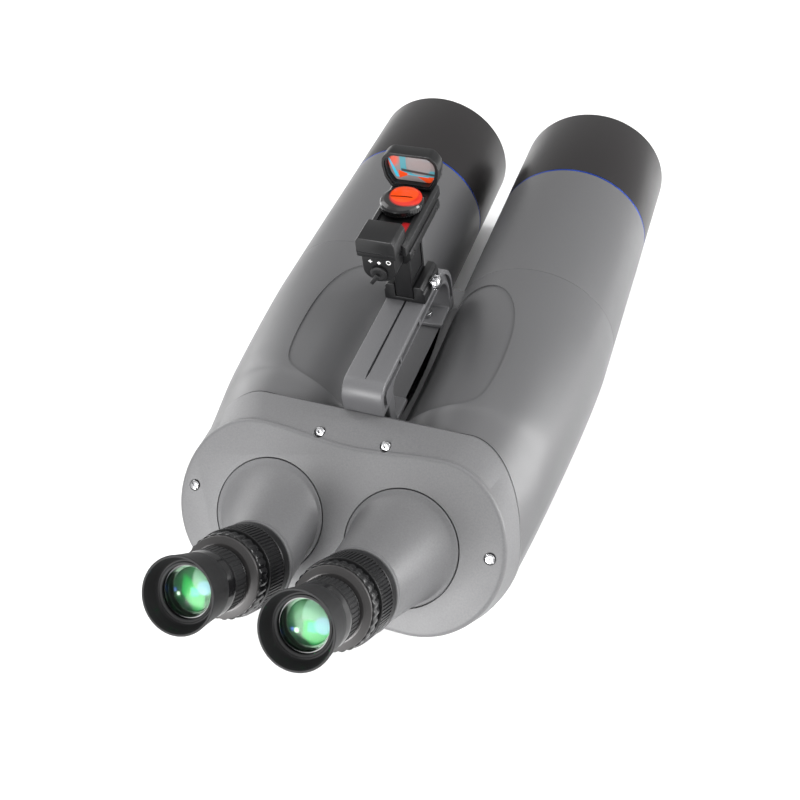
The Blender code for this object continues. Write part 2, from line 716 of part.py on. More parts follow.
def make_eyepiece(name, side):
    frame = face_frame(side * EYE_AXIS_X, EYE_AXIS_RISE)
    ring_low = COLLAR_TOP + TOUCH_GAP
    turned(f"{name}_focus_ring", [
        (FOCUS_RING_RADIUS, FOCUS_RING_TOP), (FOCUS_RING_RADIUS, ring_low + 0.008),
        (FOCUS_RING_RADIUS - 0.0006, ring_low + 0.007), (FOCUS_RING_RADIUS - 0.0006, ring_low),
        (NECK_RADIUS + RUNNING_GAP, ring_low), (NECK_RADIUS + RUNNING_GAP, NECK_TOP + 0.001),
        (SLEEVE_RADIUS + RUNNING_GAP, NECK_TOP + 0.001), (SLEEVE_RADIUS + RUNNING_GAP, FOCUS_RING_TOP),
    ], BLACK_METAL, frame, RING_SEGMENTS)
    lock_low = FOCUS_RING_TOP + TOUCH_GAP
    turned(f"{name}_lock_ring", [
        (LOCK_RING_RADIUS - 0.0012, LOCK_RING_TOP), (LOCK_RING_RADIUS, LOCK_RING_TOP - 0.0015),
        (LOCK_RING_RADIUS, lock_low + 0.001), (LOCK_RING_RADIUS - 0.001, lock_low),
        (SLEEVE_RADIUS + RUNNING_GAP, lock_low), (SLEEVE_RADIUS + RUNNING_GAP, LOCK_RING_TOP),
    ], BLACK_METAL, frame, RING_SEGMENTS)
    bore = BARREL_RADIUS + TOUCH_GAP
    turned(f"{name}_eyepiece_holder", [
        (HOLDER_FLANGE_RADIUS - 0.003, HOLDER_TOP), (HOLDER_FLANGE_RADIUS, LOCK_RING_TOP + 0.0012),
        (HOLDER_FLANGE_RADIUS, LOCK_RING_TOP + TOUCH_GAP), (SLEEVE_RADIUS, LOCK_RING_TOP + TOUCH_GAP),
        (SLEEVE_RADIUS, 0.030), (bore, 0.030), (bore, HOLDER_TOP),
    ], GUNMETAL, frame, RING_SEGMENTS)
    make_eyepiece_optics(name, frame)


def make_eyepiece_optics(name, frame):
    shoulder = HOLDER_TOP + TOUCH_GAP
    lens_seat = EYE_LENS_RADIUS + TOUCH_GAP
    lens_floor = EYE_NECK_TOP - 0.006
    throat = 0.0115
    field_radius = BARREL_RADIUS - 0.0022
    turned(f"{name}_eyepiece_body", [
        (EYE_NECK_RADIUS, EYE_NECK_TOP), (EYE_NECK_RADIUS, CHAMFER_TOP),
        (BODY_RADIUS - 0.0008, CHAMFER_TOP),
        (BODY_RADIUS + 0.0004, GRIP_TOP), (BODY_RADIUS, GRIP_TOP - 0.001),
        (BODY_RADIUS, shoulder + 0.003),
        (BODY_RADIUS - 0.001, shoulder), (BARREL_RADIUS, shoulder), (BARREL_RADIUS, BARREL_START),
        (field_radius + TOUCH_GAP, BARREL_START), (field_radius + TOUCH_GAP, BARREL_START + 0.008),
        (throat, BARREL_START + 0.008), (throat, lens_floor), (lens_seat, lens_floor),
        (lens_seat, EYE_NECK_TOP),
    ], BLACK_METAL, frame, RING_SEGMENTS)
    turned(f"{name}_field_lens", [
        (0.0, BARREL_START + 0.0075), (field_radius, BARREL_START + 0.0065),
        (field_radius, BARREL_START + 0.0025),
        (0.0, BARREL_START + 0.0015),
    ], GLASS_CLEAR, frame, LENS_SEGMENTS)
    turned(f"{name}_eye_lens", [
        (0.0, lens_floor + 0.0052), (EYE_LENS_RADIUS * 0.55, lens_floor + 0.0045),
        (EYE_LENS_RADIUS, lens_floor + 0.0025),
        (EYE_LENS_RADIUS, lens_floor + TOUCH_GAP), (0.0, lens_floor + TOUCH_GAP),
    ], GLASS_GREEN, frame, LENS_SEGMENTS)
    cup_low = CHAMFER_TOP + TOUCH_GAP
    cup_bore = EYE_NECK_RADIUS + TOUCH_GAP
    lip_low = EYE_NECK_TOP + TOUCH_GAP
    turned(f"{name}_eyecup", [
        (EYECUP_RIM_RADIUS, EYECUP_TOP), (BODY_RADIUS + 0.0008, cup_low + 0.006), (BODY_RADIUS, cup_low),
        (cup_bore, cup_low), (cup_bore, lip_low), (EYE_LENS_RADIUS + 0.0012, lip_low),
        (EYE_LENS_RADIUS + 0.0012, lip_low + 0.0012), (cup_bore + 0.0008, lip_low + 0.003),
        (EYECUP_RIM_RADIUS - EYECUP_WALL, EYECUP_TOP),
    ], RUBBER, frame, RING_SEGMENTS)


# ---- mounting foot ----
def make_mounting_foot():
    neck_top = AXIS_HEIGHT - WEB_HALF_HEIGHT - TOUCH_GAP
    half_neck = FOOT_NECK_WIDTH / 2
    half_base = FOOT_WIDTH / 2
    edge = 0.002
    outline = [
        (half_base, 0.0), (half_base, FOOT_PLATE - edge), (half_base - edge, FOOT_PLATE),
        (half_neck, FOOT_PLATE),
        (half_neck, neck_top), (-half_neck, neck_top), (-half_neck, FOOT_PLATE),
        (-half_base + edge, FOOT_PLATE),
        (-half_base, FOOT_PLATE - edge), (-half_base, 0.0),
    ]
    upright = Matrix.Rotation(math.pi / 2, 4, "X")
    foot = add_part("mounting_foot", plate_mesh("foot", outline, FOOT_LENGTH), BLACK_METAL, upright)
    for i, y in enumerate((-FOOT_THREAD_Y, FOOT_THREAD_Y)):
        hole = cylinder_mesh("thread", FOOT_THREAD_RADIUS, -0.005, 0.014)
        combine(foot, add_cutter(f"foot_thread_{i}", hole, Matrix.Translation((0, y, 0))))
    for place, y in (("rear", -FOOT_SCREW_Y), ("front", FOOT_SCREW_Y)):
        frame = Matrix.Translation((0, y, 0)) @ Matrix.Rotation(math.pi, 4, "X")
        head_radius, head_top, head_low, shank = 0.0050, -0.0008, -0.0058, 0.0030
        seat = [
            (0.0, 0.01), (head_radius + 0.0005, 0.01), (head_radius + 0.0005, head_low - TOUCH_GAP),
            (shank + TOUCH_GAP, head_low - TOUCH_GAP), (shank + TOUCH_GAP, -0.06), (0.0, -0.06),
        ]
        combine(foot, add_cutter(f"foot_screw_seat_{place}", turned_mesh("seat", seat, SMALL_SEGMENTS),
            frame))
        turned(f"foot_screw_{place}", [
            (0.0, head_top - 0.0028), (0.0022, head_top - 0.0028), (0.0022, head_top),
            (head_radius, head_top),
            (head_radius, head_low), (shank, head_low), (shank, -neck_top + 0.001),
            (0.0, -neck_top + 0.001),
        ], STEEL, frame, SMALL_SEGMENTS)


# ---- carry handle ----
def handle_outline():
    """The handle's side view in (y, z): bar, legs with inward feet, and the notch over the flange."""
    web_top = AXIS_HEIGHT + WEB_HALF_HEIGHT + TOUCH_GAP
    top = AXIS_HEIGHT + HANDLE_TOP_RISE
    front, rear = HANDLE_FRONT_Y, HANDLE_REAR_Y
    flange_clear = AXIS_HEIGHT + REAR_CROWN + TOUCH_GAP * 3
    flange_front_y = SEAM_AXIS_Y + REAR_CROWN + FLANGE_THICKNESS / SLANT + TOUCH_GAP * 3
    outer_front = arc_points((front - HANDLE_FRONT_CORNER, top - HANDLE_FRONT_CORNER),
        HANDLE_FRONT_CORNER, 0, 90, 8)
    outer_rear = arc_points((rear + HANDLE_REAR_CORNER, top - HANDLE_REAR_CORNER), HANDLE_REAR_CORNER,
        90, 180, 5)
    under = top - HANDLE_BAR
    inner_front_y = front - HANDLE_LEG
    corner = HANDLE_FRONT_CORNER - HANDLE_LEG
    inner_front = arc_points((inner_front_y - corner, under - corner), corner, 90, 0, 6)
    inner_rear_y = flange_front_y + HANDLE_LEG
    inner_corner = 0.008
    inner_rear = arc_points((inner_rear_y + inner_corner, under - inner_corner), inner_corner, 180, 90,
        4)
    foot_top = web_top + HANDLE_FOOT_THICKNESS
    return (
        [(front, web_top)] + outer_front + outer_rear
        + [(rear, flange_clear), (flange_front_y, flange_clear), (flange_front_y, web_top)]
        + [(inner_rear_y + HANDLE_FOOT_LENGTH, web_top), (inner_rear_y + HANDLE_FOOT_LENGTH, foot_top),
           (inner_rear_y, foot_top)]
        + inner_rear + inner_front
        + [(inner_front_y, foot_top), (inner_front_y - HANDLE_FOOT_LENGTH, foot_top),
           (inner_front_y - HANDLE_FOOT_LENGTH, web_top)]
    ), inner_rear_y, inner_front_y, foot_top


def make_carry_handle():
    outline, inner_rear_y, inner_front_y, foot_top = handle_outline()
    handle = add_part("carry_handle", plate_mesh("handle", outline, HANDLE_WIDTH), GREY, yz_frame())
    top = AXIS_HEIGHT + HANDLE_TOP_RISE
    half_slit = HANDLE_SLIT_WIDTH / 2
    slit = box_mesh(
        "slit", (-half_slit, HANDLE_REAR_Y + 0.010, top - HANDLE_SLIT_DEPTH),
        (half_slit, HANDLE_FRONT_Y - HANDLE_FRONT_CORNER, top + 0.01))
    combine(handle, add_cutter("handle_slit", slit))
    bolts = {
        "handle_bolt_rear": inner_rear_y + HANDLE_FOOT_LENGTH * 0.6,
        "handle_bolt_front": inner_front_y - HANDLE_FOOT_LENGTH * 0.6,
    }
    for name, y in bolts.items():
        frame = Matrix.Translation((0, y, foot_top))
        hole = cylinder_mesh("hole", 0.0025 + TOUCH_GAP, -0.02, 0.02)
        combine(handle, add_cutter(name + "_hole", hole, frame))
        turned(name, [
            (0.0, 0.002), (0.002, 0.002), (0.002, 0.004), (0.0045, 0.004), (0.0045, TOUCH_GAP),
            (0.0025, TOUCH_GAP), (0.0025, -HANDLE_FOOT_THICKNESS + 0.0002),
            (0.0, -HANDLE_FOOT_THICKNESS + 0.0002),
        ], STEEL, frame, SMALL_SEGMENTS)


# ---- finder ----
def make_finder_mount():
    low = AXIS_HEIGHT + HANDLE_TOP_RISE + TOUCH_GAP
    high = low + SHOE_HEIGHT
    front = SHOE_REAR_Y + SHOE_LENGTH
    half = SHOE_WIDTH / 2
    slot = POST_WIDTH / 2 + TOUCH_GAP
    outline = [
        (-half, low), (half, low), (half, high - 0.002), (half - 0.002, high), (slot, high),
        (slot, low + SHOE_FLOOR),
        (-slot, low + SHOE_FLOOR), (-slot, high), (-half + 0.002, high), (-half, high - 0.002),
    ]
    middle_y = (SHOE_REAR_Y + front) / 2
    across = Matrix.Translation((0, middle_y, 0)) @ Matrix.Rotation(math.pi / 2, 4, "X")
    shoe = add_part("finder_shoe", plate_mesh("shoe", outline, SHOE_LENGTH), BLACK_PLASTIC, across)
    screw_frame = Matrix.Translation((0, middle_y, low + 0.0085)) @ Matrix.Rotation(math.pi / 2, 4, "Y")
    hole = cylinder_mesh("hole", 0.0019 + TOUCH_GAP, slot - 0.002, half + 0.005)
    combine(shoe, add_cutter("thumb_screw_hole", hole, screw_frame))
    turned("finder_thumb_screw", [
        (0.0, half + 0.0070), (0.0040, half + 0.0070), (0.0052, half + 0.0058), (0.0052, half + 0.0018),
        (0.0036, half + 0.0010), (0.0036, half + TOUCH_GAP), (0.0019, half + TOUCH_GAP),
        (0.0019, slot + TOUCH_GAP),
        (0.0, slot + TOUCH_GAP),
    ], STEEL, screw_frame, SMALL_SEGMENTS)
    post_low = low + SHOE_FLOOR + TOUCH_GAP
    post_high = AXIS_HEIGHT + POST_TOP_RISE
    post = box_mesh("post", (-POST_WIDTH / 2, SHOE_REAR_Y, post_low),
        (POST_WIDTH / 2, front - 0.004, post_high))
    add_part("finder_post", post, BLACK_PLASTIC)
    return post_high


def make_sight(post_high):
    clamp_low = post_high + TOUCH_GAP
    clamp_high = clamp_low + CLAMP_HEIGHT
    half = SIGHT_WIDTH / 2
    clamp_rear = SIGHT_REAR_Y + 0.0065
    clamp = box_mesh("clamp", (-half, clamp_rear, clamp_low), (half, SIGHT_FRONT_Y - 0.002, clamp_high))
    clamp_part = add_part("sight_clamp", clamp, BLACK_METAL)
    for place, y in (("rear", clamp_rear + 0.007), ("front", SIGHT_FRONT_Y - 0.009)):
        frame = Matrix.Translation((0, y,
            clamp_low + CLAMP_HEIGHT * 0.45)) @ Matrix.Rotation(math.pi / 2, 4, "Y")
        hole = cylinder_mesh("hole", 0.0016 + TOUCH_GAP, half - 0.010, half + 0.005)
        combine(clamp_part, add_cutter(f"clamp_screw_hole_{place}", hole, frame))
        turned(f"sight_clamp_screw_{place}", [
            (0.0, half - 0.0012), (0.0008, half - 0.0012), (0.0008, half - 0.0002),
            (0.0016, half - 0.0002),
            (0.0016, half - 0.009), (0.0, half - 0.009),
        ], STEEL, frame, SMALL_SEGMENTS)
    tray_low = clamp_high + CLAMP_SLOT
    make_sight_base(tray_low, clamp_high)
    make_sight_front(tray_low + TRAY_HEIGHT)


def make_sight_base(tray_low, clamp_high):
    half = SIGHT_WIDTH / 2
    tray_high = tray_low + TRAY_HEIGHT
    tray = box_mesh("tray", (-half, SIGHT_REAR_Y, tray_low), (half, SIGHT_FRONT_Y, tray_high))
    base = add_part("sight_base", tray, BLACK_METAL)
    rail = box_mesh(
        "rail", (-half + 0.004, SIGHT_REAR_Y + 0.0065, clamp_high + TOUCH_GAP),
        (half - 0.004, SIGHT_FRONT_Y - 0.004, tray_low + 0.002))
    combine(base, add_cutter("sight_rail", rail), "UNION")
    block_low = tray_low - 0.0005
    block_high = block_low + BLOCK_HEIGHT
    half_top = BLOCK_TOP_WIDTH / 2
    block_outline = [
        (-half - 0.0005, block_low), (half + 0.0005, block_low), (half + 0.0005, tray_high),
        (half_top, block_high),
        (-half_top, block_high), (-half - 0.0005, tray_high),
    ]
    block_rear = SIGHT_REAR_Y - 0.011
    middle = Matrix.Translation((0, block_rear + BLOCK_LENGTH / 2, 0)) @ Matrix.Rotation(math.pi / 2,
        4, "X")
    block = add_cutter("sight_block", plate_mesh("block", block_outline, BLOCK_LENGTH), middle)
    combine(base, block, "UNION")
    boss_low = tray_low - 0.016
    boss = box_mesh("boss", (-0.011, block_rear + 0.002, boss_low),
        (0.011, SIGHT_REAR_Y + 0.0055, tray_low + 0.001))
    combine(base, add_cutter("selector_boss", boss), "UNION")
    pivot = Matrix.Translation((0, block_rear + 0.002,
        tray_low - 0.009)) @ Matrix.Rotation(math.pi / 2, 4, "X")
    pin_hole = cylinder_mesh("hole", 0.0015 + TOUCH_GAP, -0.005, 0.005)
    combine(base, add_cutter("selector_pin_hole", pin_hole, pivot))
    selector = turned("reticle_selector", [
        (0.0, 0.0022), (SELECTOR_RADIUS - 0.003, 0.0022), (SELECTOR_RADIUS - 0.0025, 0.0016),
        (SELECTOR_RADIUS - 0.0025, TOUCH_GAP), (0.0015, TOUCH_GAP), (0.0015, -0.0045), (0.0, -0.0045),
    ], BLACK_PLASTIC, pivot, 24)
    lever = box_mesh("lever", (-0.0016, -0.0095, 0.0005), (0.0016, 0.0, 0.0035))
    combine(selector, add_cutter("selector_lever", lever, pivot @ Matrix.Rotation(math.radians(-35), 4,
        "Z")), "UNION")
    knob_frame = Matrix.Translation((0, KNOB_Y, tray_high))
    knob_hole = cylinder_mesh("hole", 0.003 + TOUCH_GAP, -0.003, 0.005)
    combine(base, add_cutter("knob_hole", knob_hole, knob_frame))
    knob = turned("brightness_knob", [
        (0.0, KNOB_HEIGHT), (KNOB_RADIUS - 0.0025, KNOB_HEIGHT),
        (KNOB_RADIUS - 0.001, KNOB_HEIGHT - 0.0008),
        (KNOB_RADIUS, KNOB_HEIGHT - 0.0025), (KNOB_RADIUS, TOUCH_GAP), (0.003, TOUCH_GAP),
        (0.003, -0.0027),
        (0.0, -0.0027),
    ], BLACK_PLASTIC, knob_frame, 32)
    coin_slot = box_mesh("coin_slot", (-0.0065, -0.0006, KNOB_HEIGHT - 0.001),
        (0.0065, 0.0006, KNOB_HEIGHT + 0.003))
    combine(knob, add_cutter("coin_slot", coin_slot, knob_frame))
    screw_frame = Matrix.Translation((0, block_rear + BLOCK_LENGTH + 0.0042, tray_high))
    hole = cylinder_mesh("hole", 0.0011 + TOUCH_GAP, -0.004, 0.005)
    combine(base, add_cutter("elevation_hole", hole, screw_frame))
    turned("elevation_screw", [
        (0.0, 0.0014), (0.0006, 0.0014), (0.0006, 0.0026), (0.0024, 0.0022), (0.0024, TOUCH_GAP),
        (0.0011, TOUCH_GAP), (0.0011, -0.0036), (0.0, -0.0036),
    ], BRASS, screw_frame, SMALL_SEGMENTS)


def hood_outline(low, high, inset):
    """The hood's front view in (x, z): a flat top, bowed sides and a narrower bottom."""
    half = HOOD_WIDTH / 2 - inset
    flat = HOOD_FLAT_WIDTH / 2 - inset * 0.6
    top, bottom = high - inset, low + inset
    bow = low + (high - low) * 0.62
    right = [(half * 0.72, bottom), (half * 0.93, bottom + (bow - bottom) * 0.45), (half, bow),
             (half * 0.95, bow + (top - bow) * 0.55), (flat, top)]
    left = [(-x, z) for x, z in reversed(right)]
    return right + left


def make_sight_front(deck):
    low = deck + TOUCH_GAP
    high = AXIS_HEIGHT + HOOD_TOP_RISE
    middle = SIGHT_FRONT_Y - HOOD_DEPTH / 2 - 0.0005
    frame = Matrix.Translation((0, middle, 0)) @ Matrix.Rotation(math.pi / 2, 4, "X")
    hood = add_part("sight_hood", plate_mesh("hood", hood_outline(low, high, 0.0), HOOD_DEPTH),
        BLACK_METAL, frame)
    window = plate_mesh("window", hood_outline(low, high, HOOD_WALL), HOOD_DEPTH * 2)
    combine(hood, add_cutter("hood_window", window, frame))
    glass_frame = Matrix.Translation((0, 0.001, 0)) @ frame
    glass = plate_mesh("glass", hood_outline(low, high, HOOD_WALL + HOOD_CLEAR), 0.002)
    add_part("sight_lens", glass, GLASS_CLEAR, glass_frame)


# ---- the whole instrument ----
def build():
    make_main_casting()
    make_rear_cap()
    for name, side in SIDES.items():
        make_front_end(name, side)
        make_turret(name, side)
        make_erecting_prism(name, side)
        make_eyepiece(name, side)
    make_mounting_foot()
    make_carry_handle()
    make_sight(make_finder_mount())


clear_scene()
PARTS = new_collection("giant_binoculars")
CUTTERS = new_collection("cutters")
build()
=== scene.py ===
# %% [markdown]
# # Giant 45-degree binoculars
# Two large telescopes lie side by side, and prisms in their slanted rear bend the light up to two
# eyepieces. The hard pieces already exist as a plain solid frame. Here each one that can be seen is made
# again with finer edges and its own finish, and it rides on the body that carries it.

# %% Load the frame
import math

import bpy
from mathutils import Matrix, Vector


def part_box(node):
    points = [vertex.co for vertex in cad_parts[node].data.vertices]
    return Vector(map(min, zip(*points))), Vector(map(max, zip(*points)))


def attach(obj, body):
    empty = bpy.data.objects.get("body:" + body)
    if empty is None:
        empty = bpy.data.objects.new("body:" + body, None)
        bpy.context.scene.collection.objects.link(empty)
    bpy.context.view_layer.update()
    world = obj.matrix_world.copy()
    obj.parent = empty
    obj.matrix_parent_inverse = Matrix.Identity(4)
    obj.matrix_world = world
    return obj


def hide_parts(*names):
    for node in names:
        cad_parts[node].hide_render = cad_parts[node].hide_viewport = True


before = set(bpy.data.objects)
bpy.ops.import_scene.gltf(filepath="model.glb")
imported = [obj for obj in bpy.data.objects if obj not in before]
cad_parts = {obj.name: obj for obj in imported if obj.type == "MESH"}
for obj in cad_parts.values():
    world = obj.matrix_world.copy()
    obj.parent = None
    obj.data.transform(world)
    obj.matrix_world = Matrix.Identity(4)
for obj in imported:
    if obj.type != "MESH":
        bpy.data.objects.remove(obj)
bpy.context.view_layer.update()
SIDES = {"left": -1, "right": 1}

# %% [markdown]
# ## Where things are
# Every size comes from the frame. The tubes run along Y, and the rear face, its turrets and the eyepieces
# share a second direction, tipped back by 45 degrees. A frame of its own on that face lets an eyepiece be
# modelled upright and then laid in place.

# %% Shared positions
AXIS_HEIGHT = sum(corner[2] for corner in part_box("left_dew_shield")) / 2
TUBE_X = sum(corner[0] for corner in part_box("right_dew_shield")) / 2
TUBE_RADIUS = (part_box("right_dew_shield")[1][0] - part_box("right_dew_shield")[0][0]) / 2
SHIELD_REAR, SHIELD_FRONT = (corner[1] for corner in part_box("right_dew_shield"))
CASTING_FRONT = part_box("main_casting")[1][1]
SEAM_POINT = Vector((0.0, -0.1728, AXIS_HEIGHT))
SLANT = math.sqrt(0.5)
UP_FACE = Vector((0.0, SLANT, SLANT))
OUT_OF_FACE = Vector((0.0, -SLANT, SLANT))
FACE_LIFT = 0.0204
TURRET = (0.0467, 0.0055)
EYE_AXIS = (0.0352, -0.0174)


def on_face(x, rise, lift=0.0):
    """A frame on the slanted rear face: local Z points out of the face, local Y up along it."""
    point = SEAM_POINT + Vector((x, 0, 0)) + UP_FACE * rise + OUT_OF_FACE * (FACE_LIFT + lift)
    return Matrix.Translation(point) @ Matrix.Rotation(math.pi / 4, 4, "X")


def across(y):
    """Local XY lies in the plane that faces the observer, and local Z looks back along -Y."""
    return Matrix.Translation((0, y, 0)) @ Matrix.Rotation(math.pi / 2, 4, "X")


def on_tube(side):
    """A frame on a tube's axis whose local Z is the way the objective looks."""
    return Matrix.Translation((side * TUBE_X, 0, AXIS_HEIGHT)) @ Matrix.Rotation(-math.pi / 2, 4, "X")


print("tube radius", round(TUBE_RADIUS, 4), "axis height", round(AXIS_HEIGHT, 4))

# %% [markdown]
# ## Modelling helpers
# An operator works on all that is selected, so each helper first deselects everything. A turned piece is
# drawn as half a cross-section, with its corners already rounded, and spun about an axis, as on a lathe. A
# lofted piece is one ring extruded again and again, each ring then given its own outline.


# %% Selecting and placing
def deselect():
    if bpy.context.object and bpy.context.object.mode != "OBJECT":
        bpy.ops.object.mode_set(mode="OBJECT")
    bpy.ops.object.select_all(action="DESELECT")


def pick(piece):
    deselect()
    piece.select_set(True)
    bpy.context.view_layer.objects.active = piece


def edit(piece, mode="FACE"):
    pick(piece)
    bpy.ops.object.mode_set(mode="EDIT")
    bpy.ops.mesh.select_mode(type=mode)
    bpy.ops.mesh.select_all(action="DESELECT")


def done():
    bpy.ops.object.mode_set(mode="OBJECT")


def select_faces(piece, test):
    """Selects the faces whose centre and normal pass the test; returns how many did."""
    edit(piece)
    done()
    count = 0
    for face in piece.data.polygons:
        face.select = bool(test(face.center, face.normal))
        count += face.select
    bpy.ops.object.mode_set(mode="EDIT")
    return count


def clean(piece):
    """Merges doubles and turns every face outwards."""
    edit(piece, "VERT")
    bpy.ops.mesh.select_all(action="SELECT")
    bpy.ops.mesh.remove_doubles(threshold=0.000002)
    bpy.ops.mesh.normals_make_consistent(inside=False)
    done()


def place(piece, matrix):
    pick(piece)
    piece.matrix_world = matrix @ piece.matrix_world
    bpy.ops.object.transform_apply(location=True, rotation=True, scale=True)


def apply_modifier(piece, kind, **settings):
    pick(piece)
    modifier = piece.modifiers.new(kind.lower(), kind)
    for key, value in settings.items():
        setattr(modifier, key, value)
    bpy.ops.object.modifier_apply(modifier=modifier.name)


def carve(piece, cutter, operation="DIFFERENCE"):
    apply_modifier(piece, "BOOLEAN", operation=operation, object=cutter, solver="EXACT")
    bpy.data.objects.remove(cutter)


# %% Rounded outlines
def rounded(points, closed=True, steps=4):
    """Swaps each (a, b, radius) corner for a small arc; two numbers alone stay sharp."""
    result = []
    count = len(points)
    for i, point in enumerate(points):
        here = Vector(point[:2])
        radius = point[2] if len(point) > 2 else 0.0
        if radius == 0 or (not closed and i in (0, count - 1)):
            result.append(tuple(here))
            continue
        before = Vector(points[i - 1][:2]) - here
        after = Vector(points[(i + 1) % count][:2]) - here
        if before.length == 0 or after.length == 0:
            result.append(tuple(here))
            continue
        angle = before.angle(after)
        reach = min(radius / math.tan(angle / 2), before.length * 0.45, after.length * 0.45)
        start = here + before.normalized() * reach
        end = here + after.normalized() * reach
        for k in range(steps + 1):
            share = k / steps
            a = start.lerp(here, share)
            b = here.lerp(end, share)
            result.append(tuple(a.lerp(b, share)))
    return result


# %% Turning on a lathe
def turned(name, outline, matrix=None, steps=128, closed=True):
    """Spins a (radius, height, corner radius) outline about local Z."""
    profile = rounded(outline, closed)
    deselect()
    bpy.ops.mesh.primitive_plane_add(size=0.001)
    piece = bpy.context.object
    piece.name = name
    bpy.ops.object.mode_set(mode="EDIT")
    bpy.ops.mesh.select_mode(type="VERT")
    bpy.ops.mesh.select_all(action="SELECT")
    bpy.ops.mesh.merge(type="CENTER")
    bpy.ops.transform.translate(value=(profile[0][0], 0, profile[0][1]))
    for here, there in zip(profile, profile[1:]):
        step = (there[0] - here[0], 0, there[1] - here[1])
        bpy.ops.mesh.extrude_region_move(TRANSFORM_OT_translate={"value": step})
    if closed:
        done()
        for vertex in piece.data.vertices:
            vertex.select = vertex.index in (0, len(piece.data.vertices) - 1)
        bpy.ops.object.mode_set(mode="EDIT")
        bpy.ops.mesh.edge_face_add()
    bpy.ops.mesh.select_all(action="SELECT")
    bpy.ops.mesh.spin(steps=steps, angle=2 * math.pi, center=(0, 0, 0), axis=(0, 0, 1))
    done()
    clean(piece)
    if matrix is not None:
        place(piece, matrix)
    return piece


# %% Lofting and plates
def loft(name, rings, caps=True):
    """One ring of points extruded along the others, with flat ends."""
    count = len(rings[0])
    deselect()
    bpy.ops.mesh.primitive_circle_add(vertices=count, radius=0.01, fill_type="NOTHING")
    piece = bpy.context.object
    piece.name = name
    bpy.ops.object.mode_set(mode="EDIT")
    bpy.ops.mesh.select_mode(type="VERT")
    bpy.ops.mesh.select_all(action="SELECT")
    for _ in rings[1:]:
        bpy.ops.mesh.extrude_region_move(TRANSFORM_OT_translate={"value": (0, 0, 0.01)})
    done()
    flat = [value for ring in rings for point in ring for value in point]
    piece.data.vertices.foreach_set("co", flat)
    piece.data.update()
    if caps:
        for end in (0, len(rings) - 1):
            edit(piece, "VERT")
            done()
            for vertex in piece.data.vertices:
                vertex.select = end * count <= vertex.index < (end + 1) * count
            bpy.ops.object.mode_set(mode="EDIT")
            bpy.ops.mesh.edge_face_add()
            done()
    clean(piece)
    return piece


def plate(name, outline, low, high, matrix=None, edge=0.0004, bevel_steps=3):
    """A flat outline in local XY, raised from low to high, with all its edges broken."""
    rings = [[(x, y, low) for x, y in outline], [(x, y, high) for x, y in outline]]
    piece = loft(name, rings)
    if edge:
        apply_modifier(piece, "BEVEL", width=edge, segments=bevel_steps, limit_method="ANGLE",
                       angle_limit=math.radians(28), use_clamp_overlap=True)
    if matrix is not None:
        place(piece, matrix)
    return piece


def block(name, low, high, edge=0.0005, bevel_steps=3):
    """A box between two corners with rounded edges."""
    outline = [(low[0], low[1]), (high[0], low[1]), (high[0], high[1]), (low[0], high[1])]
    return plate(name, outline, low[2], high[2], None, edge, bevel_steps)


def finish(piece, body, slot, material, *nodes, smooth=35):
    """Shades a piece, gives it its material, hangs it on the body it rides on and hides the plain pieces it
    stands for.
    """
    pick(piece)
    bpy.ops.object.shade_smooth_by_angle(angle=math.radians(smooth))
    piece.data.materials.clear()
    piece.data.materials.append(material)
    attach(piece, body)
    if nodes:
        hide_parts(*nodes)
    print(piece.name, len(piece.data.polygons), "faces on", body)
    return piece


YZ_SIDE = Matrix(((0, 0, 1, 0), (1, 0, 0, 0), (0, 1, 0, 0), (0, 0, 0, 1)))

# %% [markdown]
# ## Shared surface effects
# Paint, metal and rubber differ in colour and gloss, but they share small effects: the sand texture of a
# powder coat, the fine rings that turning leaves, dust, and a painted highlight along the edges. Each effect
# is a node group with its own inputs, made once and placed in each material with its own values.


# %% Node group helper
def new_group(name, inputs, outputs):
    group = bpy.data.node_groups.new(name, "ShaderNodeTree")
    for label, kind, default in inputs:
        socket = group.interface.new_socket(label, in_out="INPUT", socket_type=kind)
        socket.default_value = default
    for label, kind in outputs:
        group.interface.new_socket(label, in_out="OUTPUT", socket_type=kind)
    start = group.nodes.new("NodeGroupInput")
    end = group.nodes.new("NodeGroupOutput")
    return group, start, end


def node(tree, kind, **settings):
    """Adds a node; a setting is an attribute, or an input socket when its name starts with in_."""
    made = tree.nodes.new(kind)
    for key, value in settings.items():
        if key.startswith("in_"):
            name = key[3:]
            made.inputs[int(name) if name.isdigit() else name.replace("_", " ")].default_value = value
        else:
            setattr(made, key, value)
    return made


def wire(tree, source, target):
    tree.links.new(source, target)


